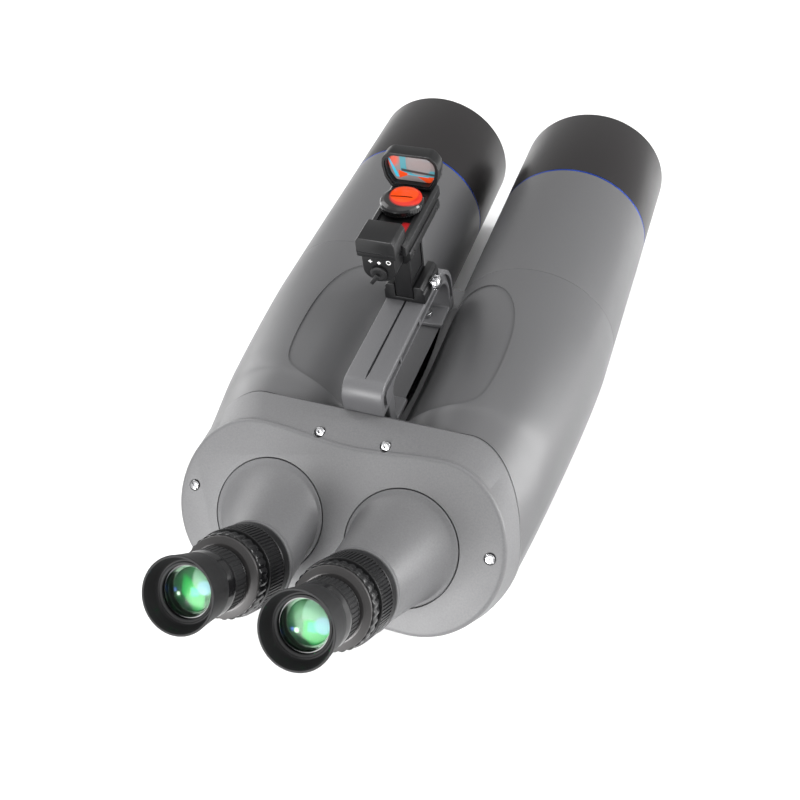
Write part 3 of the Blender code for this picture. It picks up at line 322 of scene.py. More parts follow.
# %% Sand texture group
def make_grain_group():
    group, start, end = new_group("sand grain", [
        ("Scale", "NodeSocketFloat", 900.0), ("Contrast", "NodeSocketFloat", 0.2),
    ], [("Value", "NodeSocketFloat"), ("Height", "NodeSocketFloat")])
    place_node = node(group, "ShaderNodeTexCoord")
    fine = node(group, "ShaderNodeTexNoise", in_Detail=3.0, in_Roughness=0.65)
    cells = node(group, "ShaderNodeTexVoronoi", feature="SMOOTH_F1")
    wire(group, place_node.outputs["Object"], fine.inputs["Vector"])
    wire(group, place_node.outputs["Object"], cells.inputs["Vector"])
    wire(group, start.outputs["Scale"], fine.inputs["Scale"])
    wire(group, start.outputs["Scale"], cells.inputs["Scale"])
    centred = node(group, "ShaderNodeMath", operation="SUBTRACT", in_1=0.5)
    wire(group, fine.outputs["Fac"], centred.inputs[0])
    scaled = node(group, "ShaderNodeMath", operation="MULTIPLY_ADD", in_2=1.0)
    wire(group, centred.outputs[0], scaled.inputs[0])
    wire(group, start.outputs["Contrast"], scaled.inputs[1])
    height = node(group, "ShaderNodeMath", operation="ADD")
    wire(group, fine.outputs["Fac"], height.inputs[0])
    wire(group, cells.outputs["Distance"], height.inputs[1])
    wire(group, scaled.outputs[0], end.inputs["Value"])
    wire(group, height.outputs[0], end.inputs["Height"])
    return group


# %% Painted edge highlight group
def make_edge_highlight_group():
    group, start, end = new_group("painted edge highlight", [
        ("Radius", "NodeSocketFloat", 0.0005), ("Strength", "NodeSocketFloat", 1.0),
    ], [("Mask", "NodeSocketFloat")])
    # Painted highlight: the colour is lightened along edges found by the bevel normal, broken up by noise.
    edges = node(group, "ShaderNodeBevel", samples=4)
    wire(group, start.outputs["Radius"], edges.inputs["Radius"])
    surface = node(group, "ShaderNodeNewGeometry")
    turn = node(group, "ShaderNodeVectorMath", operation="DOT_PRODUCT")
    wire(group, edges.outputs["Normal"], turn.inputs[0])
    wire(group, surface.outputs["Normal"], turn.inputs[1])
    flip = node(group, "ShaderNodeMath", operation="SUBTRACT", in_0=1.0)
    wire(group, turn.outputs["Value"], flip.inputs[1])
    speck = node(group, "ShaderNodeTexNoise", in_Scale=400.0, in_Detail=4.0)
    coords = node(group, "ShaderNodeTexCoord")
    wire(group, coords.outputs["Object"], speck.inputs["Vector"])
    broken = node(group, "ShaderNodeMath", operation="MULTIPLY")
    wire(group, flip.outputs[0], broken.inputs[0])
    wire(group, speck.outputs["Fac"], broken.inputs[1])
    strong = node(group, "ShaderNodeMath", operation="MULTIPLY", use_clamp=True)
    wire(group, broken.outputs[0], strong.inputs[0])
    wire(group, start.outputs["Strength"], strong.inputs[1])
    wire(group, strong.outputs[0], end.inputs["Mask"])
    return group


# %% Soft mottling group
def make_mottle_group():
    group, start, end = new_group("soft mottle", [
        ("Scale", "NodeSocketFloat", 30.0), ("Low", "NodeSocketFloat", 0.4), ("High", "NodeSocketFloat", 0.5),
    ], [("Value", "NodeSocketFloat")])
    coords = node(group, "ShaderNodeTexCoord")
    cloud = node(group, "ShaderNodeTexNoise", in_Detail=5.0, in_Roughness=0.6)
    wire(group, coords.outputs["Object"], cloud.inputs["Vector"])
    wire(group, start.outputs["Scale"], cloud.inputs["Scale"])
    spread = node(group, "ShaderNodeMapRange")
    wire(group, cloud.outputs["Fac"], spread.inputs["Value"])
    wire(group, start.outputs["Low"], spread.inputs["To Min"])
    wire(group, start.outputs["High"], spread.inputs["To Max"])
    wire(group, spread.outputs["Result"], end.inputs["Value"])
    return group


# %% Turning marks group
def make_turning_group():
    group, start, end = new_group("turning marks", [
        ("Direction", "NodeSocketVector", (0.0, 1.0, 0.0)), ("Pitch", "NodeSocketFloat", 2500.0),
    ], [("Height", "NodeSocketFloat")])
    coords = node(group, "ShaderNodeTexCoord")
    along = node(group, "ShaderNodeVectorMath", operation="DOT_PRODUCT")
    wire(group, coords.outputs["Object"], along.inputs[0])
    wire(group, start.outputs["Direction"], along.inputs[1])
    lines = node(group, "ShaderNodeTexNoise", noise_dimensions="1D", in_Detail=2.0)
    wire(group, along.outputs["Value"], lines.inputs["W"])
    wire(group, start.outputs["Pitch"], lines.inputs["Scale"])
    wire(group, lines.outputs["Fac"], end.inputs["Height"])
    return group


GRAIN = make_grain_group()
EDGE_HIGHLIGHT = make_edge_highlight_group()
MOTTLE = make_mottle_group()
TURNING = make_turning_group()
print("effect groups", [group.name for group in bpy.data.node_groups])


# %% Building a surface from the groups
def group_node(tree, group, **values):
    made = tree.nodes.new("ShaderNodeGroup")
    made.node_tree = group
    for key, value in values.items():
        made.inputs[key].default_value = value
    return made


def surface(name, colour, roughness, metallic=0.0, grain=900.0, contrast=0.2, bump=0.05, edge=0.3,
            gloss_spread=0.06, coat=0.0, marks=None, sheen=0.0, specular=0.5, edge_colour=None, deep=0.00004):
    """One opaque finish: grain in its colour, mottling in its gloss, a painted highlight on the edges, and a
    fine bump.
    """
    material = bpy.data.materials.new(name)
    material.use_nodes = True
    tree = material.node_tree
    shader = tree.nodes["Principled BSDF"]
    shader.inputs["Metallic"].default_value = metallic
    shader.inputs["Coat Weight"].default_value = coat
    shader.inputs["Sheen Weight"].default_value = sheen
    shader.inputs["Specular IOR Level"].default_value = specular
    grains = group_node(tree, GRAIN, Scale=grain, Contrast=contrast)
    edge_highlight = group_node(tree, EDGE_HIGHLIGHT, Radius=0.0004, Strength=edge * 4)
    mottle = group_node(tree, MOTTLE, Scale=35.0, Low=roughness - gloss_spread, High=roughness + gloss_spread)
    tinted = node(tree, "ShaderNodeVectorMath", operation="SCALE")
    tinted.inputs[0].default_value = colour
    wire(tree, grains.outputs["Value"], tinted.inputs["Scale"])
    # Painted edge highlight: the colour is mixed towards a lighter one along the edges.
    lit = node(tree, "ShaderNodeMix", data_type="RGBA", blend_type="MIX")
    light = edge_colour or tuple(min(1.0, c * 1.9 + 0.03) for c in colour)
    lit.inputs[7].default_value = (*light, 1.0)
    wire(tree, edge_highlight.outputs["Mask"], lit.inputs[0])
    wire(tree, tinted.outputs[0], lit.inputs[6])
    wire(tree, lit.outputs[2], shader.inputs["Base Color"])
    wire(tree, mottle.outputs["Value"], shader.inputs["Roughness"])
    relief = node(tree, "ShaderNodeBump", in_Strength=bump, in_Distance=deep)
    if marks:
        rings = group_node(tree, TURNING, Direction=marks)
        wire(tree, rings.outputs["Height"], relief.inputs["Height"])
    else:
        wire(tree, grains.outputs["Height"], relief.inputs["Height"])
    wire(tree, relief.outputs["Normal"], shader.inputs["Normal"])
    return material


ALONG_TUBE = (0.0, 1.0, 0.0)
ALONG_EYE = tuple(OUT_OF_FACE)

BODY_PAINT = surface("satin grey paint", (0.076, 0.076, 0.0785), 0.40, grain=1100, contrast=0.16, bump=0.25)
FACE_PAINT = surface("sanded grey paint", (0.112, 0.112, 0.115), 0.46, grain=900, contrast=0.55, bump=0.5)
HANDLE_PAINT = surface("cast grey paint", (0.092, 0.092, 0.096), 0.42, grain=1000, contrast=0.3, bump=0.4,
                       edge=0.5)
SHIELD_METAL = surface("gunmetal anodised", (0.023, 0.021, 0.0215), 0.34, metallic=0.55, grain=1500,
                       contrast=0.1,
                       bump=0.12, marks=ALONG_TUBE)
BLUE_METAL = surface("blue anodised", (0.010, 0.045, 0.30), 0.28, metallic=0.8, grain=1500, contrast=0.1,
                     bump=0.1)
BLACK_SATIN = surface("satin black anodised", (0.012, 0.012, 0.013), 0.36, metallic=0.3, contrast=0.3,
                      bump=0.15)
BLACK_EYE = surface("turned satin black", (0.007, 0.007, 0.0075), 0.36, metallic=0.15, bump=0.15,
                    marks=ALONG_EYE,
                    specular=0.35)
BLACK_GLOSS = surface("glossy black", (0.006, 0.006, 0.0065), 0.16, bump=0.05, gloss_spread=0.03,
                      specular=0.4)
DARK_GREY_METAL = surface("satin grey clamp", (0.060, 0.058, 0.058), 0.38, metallic=0.6, bump=0.1,
                          marks=ALONG_EYE)
RUBBER = surface("black rubber", (0.009, 0.009, 0.0095), 0.60, contrast=0.4, bump=0.35, edge=0.5,
                 specular=0.28)
BLACK_PLASTIC = surface("moulded black plastic", (0.006, 0.006, 0.0065), 0.42, contrast=0.2, bump=0.2,
                        specular=0.3)
STEEL = surface("bright steel", (0.42, 0.42, 0.43), 0.20, metallic=1.0, contrast=0.05, bump=0.05,
                gloss_spread=0.03)
BRASS = surface("turned brass", (0.62, 0.44, 0.18), 0.25, metallic=1.0, contrast=0.1, bump=0.05,
                gloss_spread=0.04)
INSIDE_BLACK = surface("flat black lining", (0.006, 0.006, 0.006), 0.85, contrast=0.3, bump=0.3, specular=0.2)
WHITE_MARK = surface("white mark paint", (0.75, 0.75, 0.75), 0.55, contrast=0.1, bump=0.1, edge=0.0)


# %% [markdown]
# ## Coated glass
# Lens coatings pass most light but send a little back, and its colour depends on the slope of the surface.
# The shader gets that from a thin film, and the deep green of the bundle of prisms behind, with painted
# reflections on it, is put below the lens, so the glass itself can stay clear.


# %% Glass finishes
def glass(name, colour, roughness=0.02, film=0.0, film_ior=1.38, ior=1.5, metallic=0.0, transmission=1.0):
    material = bpy.data.materials.new(name)
    material.use_nodes = True
    tree = material.node_tree
    shader = tree.nodes["Principled BSDF"]
    shader.inputs["Metallic"].default_value = metallic
    shader.inputs["Transmission Weight"].default_value = transmission
    shader.inputs["IOR"].default_value = ior
    shader.inputs["Thin Film Thickness"].default_value = film
    shader.inputs["Thin Film IOR"].default_value = film_ior
    dust = group_node(tree, MOTTLE, Scale=300.0, Low=roughness * 0.5, High=roughness * 1.5)
    wire(tree, dust.outputs["Value"], shader.inputs["Roughness"])
    tint = group_node(tree, GRAIN, Scale=60.0, Contrast=0.06)
    tinted = node(tree, "ShaderNodeVectorMath", operation="SCALE")
    tinted.inputs[0].default_value = colour
    wire(tree, tint.outputs["Value"], tinted.inputs["Scale"])
    wire(tree, tinted.outputs[0], shader.inputs["Base Color"])
    return material


CLEAR_GLASS = glass("clear glass", (0.92, 0.97, 0.97))
OBJECTIVE_GLASS = glass("green coated glass", (0.80, 0.96, 0.88), film=320.0, ior=1.52)
EYE_GLASS = glass("eye lens glass", (0.75, 0.97, 0.80), ior=1.12)
PRISM_GLASS = glass("prism glass", (0.55, 0.80, 0.65), roughness=0.05)
print("materials", len(bpy.data.materials))

# %% [markdown]
# ## Camera, light and floor
# The camera stands behind the observer's right shoulder and looks down on the slanted face. One large soft
# light comes from the right, a strip light edges the left side, and a pale floor fills the shadows.

# %% Camera
camera = bpy.data.objects.new("camera", bpy.data.cameras.new("camera"))
bpy.context.scene.collection.objects.link(camera)
right = Vector((0.9357, 0.3401, -0.0936))
up = Vector((-0.1929, 0.7155, 0.6714))
back = right.cross(up).normalized()
up = back.cross(right.normalized())
turn = Matrix((right.normalized(), up, back)).transposed().to_4x4()
camera.matrix_world = Matrix.Translation((0.2073, -0.4857, 0.6014)) @ turn
camera.data.lens = 42.89
camera.data.sensor_width = 36.0
camera.data.clip_start = 0.01
bpy.context.scene.camera = camera
print("camera at", tuple(round(v, 3) for v in camera.location))


# %% Lights and floor
def soft_light(name, position, target, size, power, shape="RECTANGLE", size_y=None, colour=(1, 1, 1)):
    lamp = bpy.data.objects.new(name, bpy.data.lights.new(name, "AREA"))
    bpy.context.scene.collection.objects.link(lamp)
    lamp.data.shape = shape
    lamp.data.size = size
    lamp.data.size_y = size_y or size
    lamp.data.energy = power
    lamp.data.color = colour
    lamp.location = position
    direction = Vector(target) - Vector(position)
    lamp.rotation_euler = direction.to_track_quat("-Z", "Y").to_euler()
    return lamp


def make_stage():
    deselect()
    bpy.ops.mesh.primitive_plane_add(size=12, location=(0, 0, -0.0005))
    floor = bpy.context.object
    floor.name = "floor"
    material = bpy.data.materials.new("pale floor")
    material.use_nodes = True
    shader = material.node_tree.nodes["Principled BSDF"]
    shader.inputs["Base Color"].default_value = (0.92, 0.92, 0.92, 1)
    shader.inputs["Roughness"].default_value = 0.9
    floor.data.materials.append(material)
    world = bpy.data.worlds.new("studio")
    bpy.context.scene.world = world
    world.use_nodes = True
    background = world.node_tree.nodes["Background"]
    background.inputs["Color"].default_value = (1, 1, 1, 1)
    background.inputs["Strength"].default_value = 0.75
    bpy.context.scene.view_settings.view_transform = "Standard"
    soft_light("right soft box", (1.1, -0.1, 0.9), (0, 0, 0.08), 1.0, 10, size_y=1.2)
    soft_light("right strip", (1.0, 0.25, 0.22), (0.1, 0.05, 0.10), 0.22, 16, size_y=1.2)
    soft_light("left strip", (-0.9, 0.3, 0.5), (-0.1, 0.0, 0.08), 0.35, 6, size_y=1.2)
    soft_light("top panel", (0.1, 0.2, 1.5), (0, 0, 0.0), 1.0, 4)
    soft_light("rear panel", (-0.30, -1.30, 0.50), (0.0, -0.2, 0.10), 0.6, 22)


make_stage()

# %% [markdown]
# ## Dew shields
# A dew shield is a thin rolled and turned sleeve that slides forward over the objective cell to keep dew
# off the glass. Turning a thin closed outline gives both faces and the two rims at once, and a small
# rounding on each rim is what catches the light.

# %% Dew shields and trim rings
SHIELD_WALL = 0.0025


def make_dew_shield(name, side):
    inner = TUBE_RADIUS - SHIELD_WALL
    lip = 0.0006
    outline = [
        (TUBE_RADIUS, SHIELD_FRONT, lip), (TUBE_RADIUS, SHIELD_REAR, 0.0003),
        (inner, SHIELD_REAR, 0.0003), (inner, SHIELD_FRONT, lip),
    ]
    sleeve = turned(f"{name}_dew_shield_sleeve", outline, on_tube(side), 192)
    finish(sleeve, f"{name}_dew_shield", "gunmetal", SHIELD_METAL, f"{name}_dew_shield")


def make_trim_ring(name, side):
    low, high = (corner[1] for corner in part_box(f"{name}_trim_ring"))
    inner = TUBE_RADIUS - 0.0056
    edge = 0.0005
    outline = [
        (TUBE_RADIUS, high, edge), (TUBE_RADIUS, low, edge), (inner, low), (inner, high),
    ]
    ring = turned(f"{name}_blue_ring", outline, on_tube(side), 192)
    finish(ring, "chassis", "blue_ring", BLUE_METAL, f"{name}_trim_ring")


for name, side in SIDES.items():
    make_dew_shield(name, side)
    make_trim_ring(name, side)

# %% [markdown]
# ## Front tubes
# Each front tube is a plain turned cylinder. It has a spigot that seats in the casting and three thin
# blackened rings inside, called baffles, which stop stray light that would glance off the wall.

# %% Front tubes
def make_front_tube(name, side):
    low = CASTING_FRONT + 0.0003
    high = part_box(f"{name}_trim_ring")[0][1] - 0.0003
    inner = TUBE_RADIUS - 0.0035
    spigot = TUBE_RADIUS - 0.005
    outline = [
        (TUBE_RADIUS, high, 0.0004), (TUBE_RADIUS, low, 0.0005), (spigot, low), (spigot, low - 0.008, 0.0004),
        (spigot - 0.003, low - 0.008), (spigot - 0.003, low + 0.006), (inner, low + 0.012), (inner, high),
    ]
    tube = turned(f"{name}_front_tube_shell", outline, on_tube(side), 192)
    finish(tube, "chassis", "body_grey", BODY_PAINT, f"{name}_front_tube")
    lining_outline = [(inner - 0.0002, high - 0.016)]
    for step, reach in ((0.045, 0.010), (0.080, 0.014)):
        y = high - step
        lining_outline += [(inner - 0.0002, y + 0.0008), (inner - reach, y), (inner - 0.0002, y - 0.0008)]
    lining_outline += [(inner - 0.0002, low + 0.013), (inner - 0.0009, low + 0.013),
                       (inner - 0.0009, high - 0.016)]
    lining = turned(f"{name}_tube_lining", lining_outline, on_tube(side), 96)
    finish(lining, "chassis", "black_metal", INSIDE_BLACK)


for name, side in SIDES.items():
    make_front_tube(name, side)

# %% [markdown]
# ## Objectives
# The objective is two lenses in a black cell, held by a threaded ring. Each lens is a turned outline whose
# faces are shallow arcs, so it bends light like the real one, and a gap of air separates the pair.


# %% Objective cells and lenses
def arc_face(radius, edge_height, bulge, steps=16):
    """Points of a lens face from its middle to its edge; bulge is how far the middle stands proud."""
    return [(radius * i / steps, edge_height + bulge * (1 - (i / steps) ** 2)) for i in range(steps + 1)]


def lens(name, radius, low, high, bulge_low, bulge_high, matrix, steps=96):
    top = arc_face(radius, high, bulge_high)
    bottom = arc_face(radius, low, bulge_low)
    return turned(name, top + bottom[::-1], matrix, steps, closed=False)


def make_objective(name, side):
    matrix = on_tube(side)
    base = SHIELD_REAR
    cell_low, cell_high = (corner[1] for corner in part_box(f"{name}_objective_cell"))
    outer = TUBE_RADIUS - SHIELD_WALL - 0.0004
    waist = outer - 0.003
    seat = base + 0.012
    lens_seat = 0.0528
    edge = 0.0004
    stem_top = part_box(f"{name}_trim_ring")[0][1]
    stem = TUBE_RADIUS - 0.0035 - 0.0003
    outline = [(outer, cell_high, edge), (outer, base), (waist, base), (waist, stem_top), (stem, stem_top),
               (stem, cell_low), (0.049, cell_low), (0.049, seat), (lens_seat, seat)]
    ridges = 7
    thread_low = base + 0.034
    for i in range(ridges):
        z = thread_low + i * (cell_high - 0.001 - thread_low) / ridges
        outline += [(lens_seat, z), (lens_seat + 0.0006, z + 0.0006), (lens_seat, z + 0.0012)]
    outline.append((lens_seat, cell_high, edge))
    cell = turned(f"{name}_lens_cell", outline, matrix, 160)
    finish(cell, "chassis", "black_metal", BLACK_SATIN, f"{name}_objective_cell")
    rear = lens(f"{name}_flint_lens", 0.0525, seat + 0.0003, seat + 0.0083, 0.001, -0.003, matrix)
    finish(rear, "chassis", "glass", CLEAR_GLASS, f"{name}_objective_rear_lens")
    front_low = seat + 0.0086
    front = lens(f"{name}_crown_lens", 0.0525, front_low, front_low + 0.006, -0.002, 0.0035, matrix)
    finish(front, "chassis", "coated_green", OBJECTIVE_GLASS, f"{name}_objective_front_lens")
    ring_low = front_low + 0.0063
    notch = 0.0006
    ring_outline = [
        (0.0525, ring_low + 0.004, edge), (0.0525, ring_low, edge), (0.050, ring_low, edge),
        (0.050, ring_low + 0.0022), (0.0508, ring_low + 0.0022 + notch), (0.0508, ring_low + 0.004, edge),
    ]
    ring = turned(f"{name}_retaining_ring", ring_outline, matrix, 160)
    finish(ring, "chassis", "black_metal", BLACK_SATIN, f"{name}_lens_retainer")


for name, side in SIDES.items():
    make_objective(name, side)

# %% [markdown]
# ## Main casting
# One casting carries both tubes. Each side is a round shell that narrows towards the rear, where a cut at
# 45 degrees makes the seat for the rear cap. A shell is a ring extruded step by step, and each step is given
# its own width, height and slant. A shallow oval is then carved into each shell where the fingers go when
# the handle is gripped.

# %% Casting outlines
WEB_HALF_HEIGHT = 0.032
SIDE_RADIUS = 0.047
REAR_CROWN = 0.0585
UPPER_DROP = 0.0035
REAR_MIDDLE = 0.0085
LOWER_DEPTH = 0.0445
LOWER_STRAIGHT = 0.059
LOWER_POWER = 1.85
TAPER_START, TAPER_POWER = 0.020, 1.4


def ease(value):
    value = min(1.0, max(0.0, value))
    return value * value * (3 - 2 * value)


def powered(value, power):
    return math.copysign(abs(value) ** power, value)


def side_width(up, radius, crown, drop):
    """How far an upper quarter reaches past its straight part at one height."""
    share = min(1.0, max(0.0, (up + drop) / (crown + drop)))
    return radius * math.sqrt(1 - share * share)


def rear_section(cosine, across, sink):
    """One tube's outline at the seam, as (outward, up) from the tube axis."""
    lower = TUBE_X - LOWER_STRAIGHT
    crown = REAR_CROWN - sink
    radius = SIDE_RADIUS - sink
    if cosine >= 0:
        up = REAR_MIDDLE + (crown - REAR_MIDDLE) * cosine
        if across > 0:
            return -(TUBE_RADIUS - sink) * across, up
        if cosine == 1:
            return 0.0, up
        return side_width(up, radius, crown, UPPER_DROP), up
    power = 2 / LOWER_POWER
    up = REAR_MIDDLE + (LOWER_DEPTH - sink) * powered(cosine, power)
    if across > 0:
        return -lower - (TUBE_RADIUS - sink - lower) * abs(across) ** power, up
    middle = side_width(REAR_MIDDLE, radius, crown, UPPER_DROP)
    return -lower + (middle + lower) * abs(across) ** power, up


def shell_point(side, degrees, share, sink=0.0):
    """A point on a tube shell: degrees from its crown towards the web, share from front to seam."""
    y = CASTING_FRONT + (SEAM_POINT.y + 0.0015 - CASTING_FRONT) * share
    slant = ease((share - 0.55) / 0.45)
    taper = min(1.0, max(0.0, (TAPER_START - y) / (TAPER_START - SEAM_POINT.y))) ** TAPER_POWER
    cosine = round(math.cos(math.radians(degrees)), 9)
    across = round(math.sin(math.radians(degrees)), 9)
    outward, up = rear_section(cosine, across, sink)
    outward = taper * outward - (1 - taper) * (TUBE_RADIUS - sink) * across
    up = taper * up + (1 - taper) * (TUBE_RADIUS - sink) * cosine
    return (side * (TUBE_X + outward), y + slant * up, AXIS_HEIGHT + up)


def make_shell(name, side, sink=0.0, around=176, along=90, overshoot=0.0):
    rings = []
    for i in range(along + 1):
        share = i / along * (1 + overshoot)
        rings.append([shell_point(side, 360 * k / around, share, sink) for k in range(around)])
    return loft(name, rings)


# %% Finger scoops
SCOOP_SHARE = 0.40
SCOOP_HALF_SHARE = 0.335
SCOOP_ANGLE = 38.0
SCOOP_HALF_ANGLE = 41.0
SCOOP_STEP = 0.0012
SCOOP_DEPTH = 0.006


def make_scoop(name, side):
    """A thick oval lens between the scoop's floor and a surface just outside the shell."""
    around, inward = 120, 14
    rings = []
    levels = [k / inward for k in range(1, inward + 1)]
    for floor in (True, False):
        for level in levels if floor else levels[::-1]:
            ring = []
            for i in range(around):
                turn_angle = 2 * math.pi * i / around
                c, s = math.cos(turn_angle), math.sin(turn_angle)
                long_way = math.copysign(abs(c) ** (2 / 2.4), c) * level
                wide_way = math.copysign(abs(s) ** (2 / 2.4), s) * level
                degrees = SCOOP_ANGLE + SCOOP_HALF_ANGLE * wide_way
                share = SCOOP_SHARE + SCOOP_HALF_SHARE * long_way
                hollow = SCOOP_STEP + SCOOP_DEPTH * ease((degrees + 3) / 75) * (1 - level ** 2.4)
                ring.append(shell_point(side, degrees, share, hollow if floor else -0.006))
            rings.append(ring)
    return loft(name, rings)


# %% Making the casting
def half_outline(upper, lower, middle, inset, arc_steps=48):
    """The right half of a wide outline.

    upper is (straight, radius, height, drop) and lower is (straight, depth, power).
    """
    straight, radius, crown, drop = upper
    right = []
    for i in range(arc_steps + 1):
        angle = math.radians(90 * i / arc_steps)
        up = middle + (crown - inset - middle) * math.cos(angle)
        width = side_width(up, radius - inset, crown - inset, drop) if i else 0.0
        right.append((straight + width, up))
    join_width = right[-1][0]
    straight, depth, power = lower
    for i in range(1, arc_steps + 1):
        angle = math.radians(90 * i / arc_steps)
        x = straight + (join_width - straight) * max(0.0, math.cos(angle)) ** (2 / power)
        right.append((x if i < arc_steps else straight,
                      middle - (depth - inset) * math.sin(angle) ** (2 / power)))
    return right


def full_outline(right, waist=0.0, flat_steps=24):
    """A half outline with its mirror image, its upper middle drawn in by the waist."""
    top, low = right[0], right[-1]
    shares = [2 * i / flat_steps - 1 for i in range(1, flat_steps)]
    bottom = [(-low[0] * share, low[1]) for share in shares]
    upper = [(top[0] * share, top[1] - waist * (0.5 + 0.5 * math.cos(math.pi * share))) for share in shares]
    return right + bottom + [(-x, z) for x, z in reversed(right)] + upper


def face_ring(outline, rise, lift):
    """An outline laid parallel to the rear face; lift counts from the seam plane."""
    points = [SEAM_POINT + Vector((x, 0, 0)) + UP_FACE * (rise + z) + OUT_OF_FACE * lift for x, z in outline]
    return [tuple(point) for point in points]


def seam_outline(inset=0.0):
    upper = (TUBE_X, SIDE_RADIUS, REAR_CROWN / SLANT, UPPER_DROP / SLANT)
    lower = (LOWER_STRAIGHT, LOWER_DEPTH / SLANT, LOWER_POWER)
    return full_outline(half_outline(upper, lower, REAR_MIDDLE / SLANT, inset - 0.0004))


def make_casting():
    casting = make_shell("casting", 1)
    carve(casting, make_shell("casting_left", -1), "UNION")
    top = AXIS_HEIGHT + WEB_HALF_HEIGHT
    low = AXIS_HEIGHT - WEB_HALF_HEIGHT
    rear = SEAM_POINT.y + 0.003
    outline = [(CASTING_FRONT - 0.0015, low), (CASTING_FRONT - 0.0015, top), (rear + WEB_HALF_HEIGHT, top),
               (rear - WEB_HALF_HEIGHT, low)]
    web = plate("web", outline, -0.053, 0.053, YZ_SIDE, edge=0)
    carve(casting, web, "UNION")
    rings = [face_ring(seam_outline(), 0.0, lift) for lift in (-0.006, 0.0)]
    carve(casting, loft("flange", rings), "UNION")
    core = block("core", (-0.009, -0.3, AXIS_HEIGHT - 0.026),
                 (0.009, CASTING_FRONT - 0.0075, AXIS_HEIGHT + 0.026), 0)
    carve(casting, core)
    for name, side in SIDES.items():
        carve(casting, make_scoop(f"scoop_{name}", side))
        carve(casting, make_shell(f"hollow_{name}", side, 0.0115, 96, 40, 0.04))
        mouth = turned(f"mouth_{name}", [(0, CASTING_FRONT + 0.01), (0.0583, CASTING_FRONT + 0.01),
                       (0.0583, CASTING_FRONT - 0.012), (0, CASTING_FRONT - 0.012)], on_tube(side), 96,
                       closed=False)
        carve(casting, mouth)
    clean(casting)
    finish(casting, "chassis", "body_grey", BODY_PAINT, "main_casting", smooth=28)


make_casting()

# %% [markdown]
# ## Rear cap
# The cap closes the casting and carries the two turrets. Its sides slope from the wide seam up to the
# smaller face. The outline is lofted from one to the other, with a few close rings near the face for its
# rounded edge, and the round turret seats and screw pockets are carved afterwards.

# %% Rear cap
FACE_RISE = 0.0091
CAP_SCREWS = {"cap_screw_upper_left": (-0.0232, 0.0575, -0.0079, -0.0160),
              "cap_screw_upper_right": (0.0232, 0.0575, -0.0079, -0.0160),
              "cap_screw_outer_left": (-0.1044, 0.0040, -0.0012, -0.0100),
              "cap_screw_outer_right": (0.1044, 0.0040, -0.0012, -0.0100)}
TURRET_RADIUS = 0.0380


def face_outline(inset=0.0):
    return full_outline(half_outline((0.064, 0.051, 0.058, 0.0), (0.0575, 0.058, 2), 0.0, inset), 0.0045)


def make_rear_cap():
    rings = [face_ring(seam_outline(0.0004), 0.0, 0.0003), face_ring(seam_outline(), 0.0, 0.0007)]
    rounding = 0.0030
    for i in range(7):
        angle = math.radians(15 * i)
        inset = rounding * (1 - math.cos(angle))
        rings.append(face_ring(face_outline(inset), FACE_RISE, FACE_LIFT - rounding * (1 - math.sin(angle))))
    cap = loft("cap", rings)
    hollow = [face_ring(seam_outline(0.008), 0.0, -0.004),
              face_ring(face_outline(0.008), FACE_RISE, FACE_LIFT - 0.005)]
    carve(cap, loft("cap_hollow", hollow))
    for name, side in SIDES.items():
        seat = [(0, 0.01), (TURRET_RADIUS + 0.0012, 0.01), (TURRET_RADIUS + 0.0009, -0.0006),
                (TURRET_RADIUS + 0.0004, -0.0014), (TURRET_RADIUS + 0.0004, -0.0037),
                (0.0301, -0.0037), (0.0301, -0.02), (0, -0.02)]
        carve(cap, turned(f"seat_{name}", seat, on_face(side * TURRET[0], TURRET[1]), 128, closed=False))
    for x, rise, head_low, _ in CAP_SCREWS.values():
        pocket = [(0, 0.01), (0.0041, 0.01), (0.0041, -0.0002), (0.0038, -0.0006),
                  (0.0038, head_low - 0.0003),
                  (0.0021, head_low - 0.0003), (0.0021, -0.05), (0, -0.05)]
        carve(cap, turned("pocket", pocket, on_face(x, FACE_RISE + rise), 40, closed=False))
    clean(cap)
    finish(cap, "chassis", "face_grey", FACE_PAINT, "rear_cap", smooth=28)


make_rear_cap()

# %% [markdown]
# ## Screws in the rear cap
# Two socket-head screws sit in the band above the turrets and two slotted ones at the ends of the face. A
# head is a turned button, and its socket or slot is cut by a small hexagonal or flat cutter.

# %% Cap screws
def make_screw(name, matrix, head_radius, head_top, head_low, shank, depth, drive, body, node_name,
               material=None, slot_name="steel"):
    crown = 0.0005
    outline = [(0, head_top + crown * 0.3), (head_radius * 0.6, head_top + crown * 0.15),
               (head_radius, head_top, 0.0006),
               (head_radius, head_low, 0.0002), (shank, head_low), (shank, depth), (0, depth)]
    screw = turned(name, outline, None, 48, closed=False)
    if drive == "slot":
        cutter = block("drive", (-head_radius * 1.2, -0.00045, head_top - 0.0011),
                       (head_radius * 1.2, 0.00045, 0.02), 0)
        place(cutter, Matrix.Rotation(math.radians(-40), 4, "Z"))
    else:
        flats = [(head_radius * 0.52 * math.cos(math.radians(60 * k)),
                  head_radius * 0.52 * math.sin(math.radians(60 * k)))
                 for k in range(6)]
        cutter = plate("drive", flats, head_top - 0.0014, head_top + 0.01, None, 0)
    carve(screw, cutter)
    clean(screw)
    place(screw, matrix)
    return finish(screw, body, slot_name, material or STEEL, node_name)


for node_name, (x, rise, head_low, tip) in CAP_SCREWS.items():
    drive = "slot" if "outer" in node_name else "socket"
    make_screw(node_name + "_head", on_face(x, FACE_RISE + rise), 0.0032, head_low + 0.0023, head_low,
               0.0018, tip,
               drive, "chassis", node_name)

# %% [markdown]
# ## Turrets
# Each eyepiece stands off the middle of a round disc, so turning the disc moves the eyepiece sideways and
# sets the distance between the eyes. The cone between disc and eyepiece leans, because its two ends are not
# on one line. Rings that shrink and slide step by step give that leaning cone.


# %% Turrets
def circle_ring(centre, radius, height, count=144):
    angles = [2 * math.pi * k / count for k in range(count)]
    return [(centre[0] + radius * math.cos(a), centre[1] + radius * math.sin(a), height) for a in angles]


